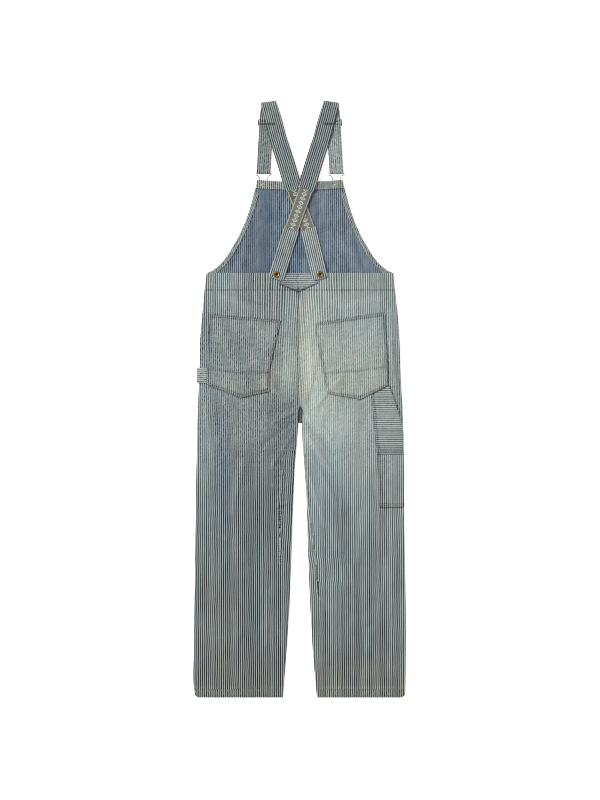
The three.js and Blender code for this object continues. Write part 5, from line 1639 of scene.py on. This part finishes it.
@dataclass
class Straps:
    """Both shoulder straps: slide, clasp, shoulder fold, elastic and button end.

    The tables are of the wearer's right side, and the left is its mirror image. The strap of the right
    shoulder lies over the other where they cross."""

    slide_x: float = 87.4
    slide_y: float = 717.6
    slide_lean: float = -3.27
    clasp_y: float = 587.0
    clasp_z: float = 4.4
    clasp_radius: float = 2.2
    pitch: float = 1.6
    return_length: float = 122.0
    stitch_inset: float = 3.4
    buttonhole_radius: float = 3.4
    fold_x: float = 81.3
    fold_low: float = 1.2
    fold_radius: float = 2.1
    front_width: float = 36.6
    elastic_width: float = 36.0
    # distance from the slide's middle bar towards the shoulder, height
    return_ply: Table = (
        (2.05, 2.5), (1.9, 3.6), (1.1, 4.35), (-0.4, 4.6), (-4, 5.6), (-7.5, 6.5), (-11, 6.3), (-17, 4.6),
        (-28, 2.9), (-70, 2.7), (-105, 2.9), (-119, 4.6), (-125, 6.1),
    )
    main_ply: Table = (
        (-122, 1.6), (-112, 0.9), (-60, 0.8), (-20, 0.85), (-14, 1.7), (-10.6, 4.1), (-9, 4.7), (-7.3, 4.75),
        (-5.6, 4.3), (-3.8, 2.7), (-2.6, 1.3), (-0.8, 0.85), (1.6, 0.95), (3.3, 1.6), (4.6, 2.9), (5.7, 4.3),
        (7.5, 4.75), (9.6, 4.4), (14, 2.2), (22, 1.1),
    )
    diagonal: tuple[Station, ...] = (
        Station(76, 752, 6.1, 41.5, 14),
        Station(71.6, 734, 7.1, 43, 15.5),
        Station(67.8, 720, 8.1, 44, 16),
        Station(64.5, 708, 8.2, 44, 16),
        Station(60.9, 694, 7.4, 44, 16.5),
        Station(56.3, 676, 5.4, 44, 17),
        Station(47, 646, 4.6, 45.5, 17),
        Station(38.8, 621, 4.6, 45.5, 17),
        Station(31.3, 596, 5.8, 45.5, 17),
        Station(24.1, 571, 7.3, 46, 18),
        Station(20, 557, 7.3, 46, 19),
        Station(15.7, 543.9, 7.3, 40, 20.1),
    )
    elastic_top: tuple[float, float] = (15.5, 543.5)
    elastic_bottom: tuple[float, float] = (21.6, 442.0)
    # y, underside
    elastic_rest: Table = ((442, 1.7), (470, 2.6), (500, 4.1), (520, 5.1), (533, 6), (543.5, 6.6))
    end_y: float = 311.0
    end_x: dict[Side, float] = field(default_factory=lambda: {Side.LEFT: -62.6, Side.RIGHT: 52.2})
    # share of the way from the button end to the elastic, underside, width
    end_rows: Table = (
        (0, 6, 30), (0.02, 6, 37), (0.05, 6, 40.5), (0.1, 6, 41.5), (0.16, 6, 41.5), (0.22, 5.7, 41.5),
        (0.32, 3.9, 41.5), (0.44, 1.9, 41.5), (0.6, 1.7, 41.5), (0.8, 1.7, 41.5), (1, 1.7, 40.5),
    )

    @property
    def elastic_lean(self) -> float:
        """Lean of the elastics from +Y."""
        reach = self.elastic_top[0] + self.elastic_bottom[0]
        return math.degrees(math.atan2(reach, self.elastic_top[1] - self.elastic_bottom[1]))

    def crossing(self, side: Side, y: Array) -> Array:
        """How far the upper strap is lifted where the two cross."""
        lift = (STRAP_CLOTH + 1.1) * smooth(y, 395, 428) * smooth(y, 608, 578)
        return lift * (side is Side.RIGHT)

    def front_station(self, along: float, height: float) -> Station:
        """Station of the front stretch, which squares up to the clasp's bar."""
        angle = math.radians(self.slide_lean)
        clasp_along = (self.clasp_y - self.slide_y) / math.cos(angle)
        lean = self.slide_lean * float(smooth(along, clasp_along + 3, clasp_along + 40))
        x, y = self.slide_x + along * math.sin(angle), self.slide_y + along * math.cos(angle)
        return Station(x, y, height, self.front_width, lean)

    def upper_stations(self, side: Side) -> list[Station]:
        """Stations of the cloth strap from its sewn end on the slide to the elastic."""
        angle = math.radians(self.slide_lean)
        clasp_along = (self.clasp_y - self.slide_y) / math.cos(angle)
        wrap = [
            self.front_station(
                clasp_along + self.clasp_radius * math.cos(math.radians(a)),
                self.clasp_z + self.clasp_radius * math.sin(math.radians(a)),
            )
            for a in (90, 112, 135, 158, 180, 202, 225, 248, 270)
        ]
        fold = [Station(82.3, 757, 1.0, 38.5, 1)]
        for i, a in enumerate((-90, -70, -50, -30, -10, 10, 30, 50, 70, 90)):
            turn = math.radians(a)
            y = SHOULDER_Y + self.fold_radius * math.cos(turn)
            height = self.fold_low + self.fold_radius * (1 + math.sin(turn))
            fold.append(Station(self.fold_x, y, height, 39.5, 5 + 5 * i / 9))
        down = [s._replace(height=s.height + float(self.crossing(side, s.y))) for s in self.diagonal]
        first = [self.front_station(*row) for row in self.return_ply]
        second = [self.front_station(*row) for row in self.main_ply]
        return [*first, *wrap, *second, *fold, *down]

    def ribbon(self, stations: Sequence[Station], side: Side, columns: int, passes: int) -> Array:
        """Grid of a strap through its stations, level across its width."""
        return self.spread(softened(np.array(stations, float), self.pitch, passes), side, columns)

    def spread(self, line: Array, side: Side, columns: int) -> Array:
        """Grid of a strap across its stations."""
        lean = np.radians(line[:, 4:5])
        u = line[:, 3:4] * np.linspace(-0.5, 0.5, columns)
        x, y = side.sign * (line[:, :1] + u * np.cos(lean)), line[:, 1:2] - u * np.sin(lean)
        return np.stack([x, y, np.broadcast_to(line[:, 2:3], x.shape)], axis=2)

    def strap_grain(self, grid: Array) -> Array:
        """Cloth places of a strap: across it, and along its middle."""
        middle = grid[:, grid.shape[1] // 2]
        run = run_along(middle)
        across = np.linalg.norm(grid - grid[:, :1], axis=2)
        across = across - across[:, -1:] / 2
        return np.stack([across, np.broadcast_to(run[:, None], across.shape)], axis=2)

    def edge_rows(self, grid: Array, inset: float, thickness: float, rows: slice) -> list[Array]:
        """Stitch rows along both edges of a strap, on top."""
        wide = np.linalg.norm(grid[:, -1] - grid[:, 0], axis=1)[:, None]
        lines = []
        for near, far in ((0, -1), (-1, 0)):
            line = grid[:, near] + (grid[:, far] - grid[:, near]) * inset / wide
            lines.append((line + (0, 0, thickness / 2))[rows])
        return lines

    def upper(self, side: Side) -> Cloth:
        """The cloth strap of one shoulder."""
        grid = self.ribbon(self.upper_stations(side), side, 15, 2)
        node = f"strap_{side.value}"
        cloth = Cloth(node, grid, self.strap_grain(grid), STRAP_CLOTH, TRIM_TWILL)
        x, y = grid[:, :, 0], grid[:, :, 1]
        rim = np.abs(np.linspace(-1, 1, 15))[None, :]
        # The left strap's front stretch is made dark as painted shade; the other values set how rubbed each
        # stretch is.
        front, slope = (0.12, 0.20) if side is Side.LEFT else (0.55, 0.12)
        base = (
            np.where(np.arange(len(grid))[:, None] < 0.58 * len(grid), front, slope)
            - (0.13 if side is Side.LEFT else 0.09)
        )
        # Lighter at the worn edges, with a darker line inside them along the stitching: painted shade.
        edges = 0.16 * (smooth(rim, 0.8, 1.0) - smooth(np.abs(rim - 0.72), 0.12, 0.02))
        # Painted shade where the strap bends over the slide's bar.
        slide_shade = -0.7 * smooth(np.abs(y - self.slide_y + 3.5), 4.2, 1.6) * smooth(x * side.sign, 60, 68)
        cloth.wear_and_shade = np.clip(base + 0.24 * cloud(x, y, 14, 30, 101.0) + edges, 0, 1) + slide_shade
        cloth.tint = -0.15
        cloth.rests_on = (f"slide_{side.value}_metal", "bib_top_hem_cloth")
        return_end = int(np.argmin(np.abs(np.arange(len(grid)) * self.pitch - self.return_length)))
        fold_at = int(np.argmax(grid[:, 7, 1]))
        cloth.rows = self.edge_rows(grid, self.stitch_inset, STRAP_CLOTH, slice(14, return_end))
        cloth.rows += self.edge_rows(grid, self.stitch_inset, STRAP_CLOTH, slice(fold_at + 4, None))
        return cloth

    def elastic(self, side: Side) -> Cloth:
        """The elastic of the strap that ends on one shoulder."""
        y = steps(self.elastic_bottom[1], self.elastic_top[1], 2)
        x = np.interp(y, (y[0], y[-1]), (-self.elastic_bottom[0], self.elastic_top[0]))
        z = column(self.elastic_rest, 0, 1)(y) + ELASTIC_CLOTH / 2 + self.crossing(side, y)
        stations = [Station(*row, self.elastic_width, self.elastic_lean) for row in zip(x, y, z)]
        grid = self.ribbon(stations, side, 19, 2)
        node = f"elastic_{side.value}"
        cloth = Cloth(node, grid, self.strap_grain(grid), ELASTIC_CLOTH, WEBBING)
        middle = grid[:, :, 1]
        # The left elastic darkens where the right one lies over it: painted shade.
        under = smooth(middle, 500, 530) * (side is Side.LEFT)
        cloth.wear_and_shade = np.clip(0.82 + 0.36 * cloud(grid[:, :, 0], middle, 8, 9, 111.0) - 0.6 * under, 0, 1)
        cloth.rests_on = ("bib_cloth",) if side is Side.LEFT else ("elastic_left_cloth",)
        return cloth

    def end(self, side: Side) -> Cloth:
        """The cloth end from the elastic down to its button; side is the shoulder that it comes from."""
        place = side.other
        from_x = self.end_x[place] * side.sign
        to_x, to_y = -self.elastic_bottom[0] - 0.1, self.elastic_bottom[1] - GAP
        lean = math.degrees(math.atan2(to_x - from_x, to_y - self.end_y))
        share = np.unique(np.concatenate([np.linspace(0, 0.1, 9), np.linspace(0.1, 1, 60)]))
        y = self.end_y + (to_y - self.end_y) * share
        height = column(self.end_rows, 0, 1)(share) + STRAP_CLOTH / 2 + self.crossing(side, y)
        width = column(self.end_rows, 0, 2)(share)
        turn = lean + (self.elastic_lean - lean) * smooth(share, 0.6, 1)
        x = from_x + (to_x - from_x) * share
        grid = self.spread(np.stack([x, y, height, width, turn], axis=1), side, 21)
        over = width[:, None] * np.linspace(-0.5, 0.5, 21)
        along = np.broadcast_to((y / math.cos(math.radians(lean)))[:, None], over.shape)
        grain = np.stack([over, along], axis=2)
        node = f"strap_end_{place.value}"
        centre = sum(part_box(f"back_button_{place.value}"), Vector()) / 2 / MM
        hole = (centre.x - PLACE[0], centre.y - PLACE[1], self.buttonhole_radius)
        cloth = Cloth(node, grid, grain, STRAP_CLOTH, TRIM_TWILL, hole=hole)
        rim = np.abs(np.linspace(-1, 1, 21))[None, :]
        base = 0.3 if place is Side.LEFT else 0.47
        # Lighter at the worn edges, with a faint darker line inside them: painted shade of the stitched
        # hollow.
        edges = 0.14 * smooth(rim, 0.85, 1.0) - 0.08 * smooth(np.abs(rim - 0.75), 0.1, 0.02)
        cloth.wear_and_shade = np.clip(base + 0.2 * cloud(grid[:, :, 0], grid[:, :, 1], 14, 26, 121.0) + edges, 0, 1)
        cloth.tint = 0.1
        cloth.rests_on = ("bib_cloth", "waist_insert_cloth")
        cloth.rows = self.edge_rows(grid, self.stitch_inset, STRAP_CLOTH, slice(7, None))
        cloth.rows += [across + (0, 0, STRAP_CLOTH / 2) for across in (grid[5, 3:-3], grid[-5, 2:-2])]
        return cloth

    def build(self) -> None:
        """Builds both straps; the one underneath comes first."""
        for side in Side:
            self.upper(side).build()
            self.elastic(side).build()
            self.end(side).build()


# ---------------------------------------------------------------- hardware
def dress(piece: Object, finish: WornMetal, node: str) -> None:
    """Gives a metal piece its finish and its place in the frame, for the node that it stands for."""
    piece.data.materials.clear()
    piece.data.materials.append(finish.material())
    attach(piece, "root")
    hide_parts(node)
    LOG.info("%s stands for %s", piece.name, node)


def settle(piece: Object) -> None:
    """Leaves an object at the origin, unturned and unscaled, with its place in its mesh."""
    select_only(piece)
    bpy.ops.object.transform_apply(location=True, rotation=True, scale=True)


def mark_hollows(piece: Object, depth: Callable[[Vector], float]) -> None:
    """Writes how sheltered each point is, from 0 to 1, for the tarnish of its metal."""
    values = [float(depth(v.co)) for v in piece.data.vertices]
    piece.data.attributes.new("hollow", "FLOAT", "POINT").data.foreach_set("value", values)


@dataclass
class MetalCopy:
    """A piece of wire or plate that keeps its solid's shape, with its edges rounded."""

    node: str
    finish: WornMetal
    edge: float = 0.0
    smooth_levels: int = 0

    def build(self) -> Object:
        """Merges a copy of the solid, rounds it and dresses it."""
        name = f"{self.node}_metal"
        mesh = bpy.data.objects[self.node].data.copy()
        mesh.name = name
        piece = added(name, mesh)
        select_only(piece)
        bpy.ops.object.mode_set(mode="EDIT")
        bpy.ops.mesh.select_all(action="SELECT")
        bpy.ops.mesh.remove_doubles(threshold=0.00001)
        bpy.ops.mesh.tris_convert_to_quads()
        bpy.ops.object.mode_set(mode="OBJECT")
        if self.smooth_levels:
            modified(piece, "SUBSURF", levels=self.smooth_levels, render_levels=self.smooth_levels)
        rounded(piece, self.edge, 3, 40, 45)
        dress(piece, self.finish, self.node)
        return piece


@dataclass
class Button:
    """A pressed metal button face: a disc whose face is stepped in and out by insets.

    Fields:
        node: the solid that it stands for, which gives its place and height.
        face_up: whether its face looks up.
        shaft: radius of the neck behind the face, and face_depth, how thick the face is.
        profile: insets from the rim inward and the lift after each, in millimetres.
    """

    node: str
    face_up: bool
    shaft: float
    face_depth: float
    profile: tuple[tuple[float, float], ...]
    finish: WornMetal = BRASS

    def build(self) -> Object:
        """Models the button in the place of its solid."""
        low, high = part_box(self.node)
        centre = (low + high) / 2
        radius = (high.x - low.x) / 2
        lifts = sum(lift for _, lift in self.profile if lift > 0) * MM
        way = 1 if self.face_up else -1
        outer = high.z if self.face_up else low.z
        plate = self.face_depth * MM - lifts
        base = outer - way * (lifts + plate / 2)
        bpy.ops.object.select_all(action="DESELECT")
        bpy.ops.mesh.primitive_cylinder_add(
            vertices=64, radius=radius, depth=plate, location=(centre.x, centre.y, base)
        )
        face = bpy.context.active_object
        face.name = f"{self.node}_metal"
        self.step_in(face, way)
        settle(face)
        if self.shaft:
            length = (high.z - low.z) - self.face_depth * MM * 0.6
            middle = (low.z if self.face_up else high.z) + way * length / 2
            bpy.ops.mesh.primitive_cylinder_add(
                vertices=32, radius=self.shaft * MM, depth=length, location=(centre.x, centre.y, middle)
            )
            neck = bpy.context.active_object
            settle(neck)
            face.select_set(True)
            neck.select_set(True)
            bpy.context.view_layer.objects.active = face
            bpy.ops.object.join()
        select_only(face)
        rounded(face, 0.25, 2, 35, 40)
        near = radius * 0.5
        mark_hollows(
            face, lambda p: 1.0 - smooth(math.hypot(p.x - centre.x, p.y - centre.y), near * 0.7, near * 1.3)
        )
        dress(face, self.finish, self.node)
        return face

    def step_in(self, face: Object, way: int) -> None:
        """Insets and lifts the outer face of the disc once for each step of the profile."""
        select_only(face)
        bpy.ops.object.mode_set(mode="EDIT")
        bpy.ops.mesh.select_all(action="DESELECT")
        bpy.ops.object.mode_set(mode="OBJECT")
        for polygon in face.data.polygons:
            polygon.select = polygon.normal.z * way > 0.9
        bpy.ops.object.mode_set(mode="EDIT")
        bpy.ops.mesh.select_mode(type="FACE")
        for inset, lift in self.profile:
            bpy.ops.mesh.inset(thickness=inset * MM, depth=0)
            bpy.ops.transform.translate(value=(0, 0, way * lift * MM))
        bpy.ops.object.mode_set(mode="OBJECT")


@dataclass
class Hardware:
    """Buttons, their tacks, the wire clasps and the slides."""

    back_face: tuple[tuple[float, float], ...] = (
        (0.5, 0.45), (0.5, 0.15), (0.7, 0.0), (0.5, -0.5), (1.4, -0.1), (1.2, 0.0), (0.5, 0.25), (0.6, 0.1),
    )
    bib_face: tuple[tuple[float, float], ...] = (
        (0.6, 0.4), (0.9, 0.2), (0.7, -0.35), (2.2, -0.05), (0.7, 0.2)
    )
    tack_face: tuple[tuple[float, float], ...] = ((0.6, 0.25), (1.0, 0.1), (0.8, -0.2), (0.6, 0.1))

    def build(self) -> None:
        """Builds every metal piece."""
        for side in Side:
            Button(f"back_button_{side.value}", True, 2.4, 2.6, self.back_face).build()
            Button(f"bib_button_{side.value}", False, 2.6, 2.9, self.bib_face).build()
            Button(f"bib_tack_{side.value}", True, 0.0, 0.8, self.tack_face, TIN).build()
            MetalCopy(f"clasp_{side.value}", NICKEL, smooth_levels=1).build()
            MetalCopy(f"slide_{side.value}", DARK_STEEL, edge=0.35).build()


# ---------------------------------------------------------------- stage
@dataclass
class Stage:
    """A pale floor, soft light from above, and a camera that looks straight down through a long lens."""

    view_height: float = 2.080
    centre: tuple[float, float] = (0.3, -2.6)  # millimetres, on the garment
    lens: float = 120.0
    sensor: float = 36.0
    floor_drop: float = 0.0004

    def floor(self) -> None:
        """A matt opal sheet under the garment, lit a little from below so that it shows no shadow."""
        bpy.ops.object.select_all(action="DESELECT")
        bpy.ops.mesh.primitive_plane_add(size=40.0, location=(0, 0, -self.floor_drop))
        floor = bpy.context.active_object
        floor.name = "floor"
        settle(floor)
        material, tree, shader = new_material("matt_white_paper")
        at = put(tree, "ShaderNodeTexCoord").outputs["Object"]
        tooth = put(tree, "ShaderNodeTexNoise", {"Vector": at, "Scale": 400.0}).outputs["Fac"]
        colour, white = blend(tree, tooth, "#f4f4f3", "#f8f8f7"), (1.0, 1.0, 1.0, 1.0)
        wire(
            tree,
            shader,
            {"Base Color": colour, "Roughness": 0.95, "Emission Color": white, "Emission Strength": 0.5},
        )
        floor.data.materials.append(material)

    def light(self) -> None:
        """Even light from all round, and one large soft lamp above the left shoulder."""
        world = bpy.data.worlds.new("studio")
        bpy.context.scene.world = world
        world.use_nodes = True
        ground = world.node_tree.nodes["Background"]
        wire(world.node_tree, ground, {"Color": (1.0, 1.0, 1.0, 1.0), "Strength": 0.55})
        for name, place, size, power in (
            ("key_lamp", (-2.9, 2.1, 2.6), 1.2, 250.0),
            ("fill_lamp", (2.4, -2.2, 3.4), 3.0, 15.0),
        ):
            lamp = bpy.data.lights.new(name, "AREA")
            lamp.size, lamp.energy = size, power
            holder = added(name, lamp)
            holder.location = place
            holder.rotation_euler = (-Vector(place)).to_track_quat("-Z", "Y").to_euler()

    def camera(self) -> None:
        """The camera, square above the garment."""
        data = bpy.data.cameras.new("camera")
        data.lens, data.sensor_width = self.lens, self.sensor
        data.clip_end = 50.0
        camera = added("camera", data)
        x, y = (np.array(self.centre) + PLACE[:2]) * MM
        camera.location = (x, y, self.view_height * self.lens / self.sensor)
        bpy.context.scene.camera = camera

    def build(self) -> None:
        """Sets up the floor, the lights and the camera."""
        self.floor()
        self.light()
        self.camera()
        scene = bpy.context.scene
        scene.view_settings.view_transform = "Standard"
        scene.cycles.filter_width = 1.0


def main() -> None:
    """Builds the garment from the ground up, then its stage."""
    logging.basicConfig(level=logging.INFO, format="%(name)s: %(message)s")
    body = Body()
    Legs(body).build()
    Bib().build()
    Patches(body).build()
    Straps().build()
    Hardware().build()
    Stage().build()


if __name__ == "__main__":
    main()
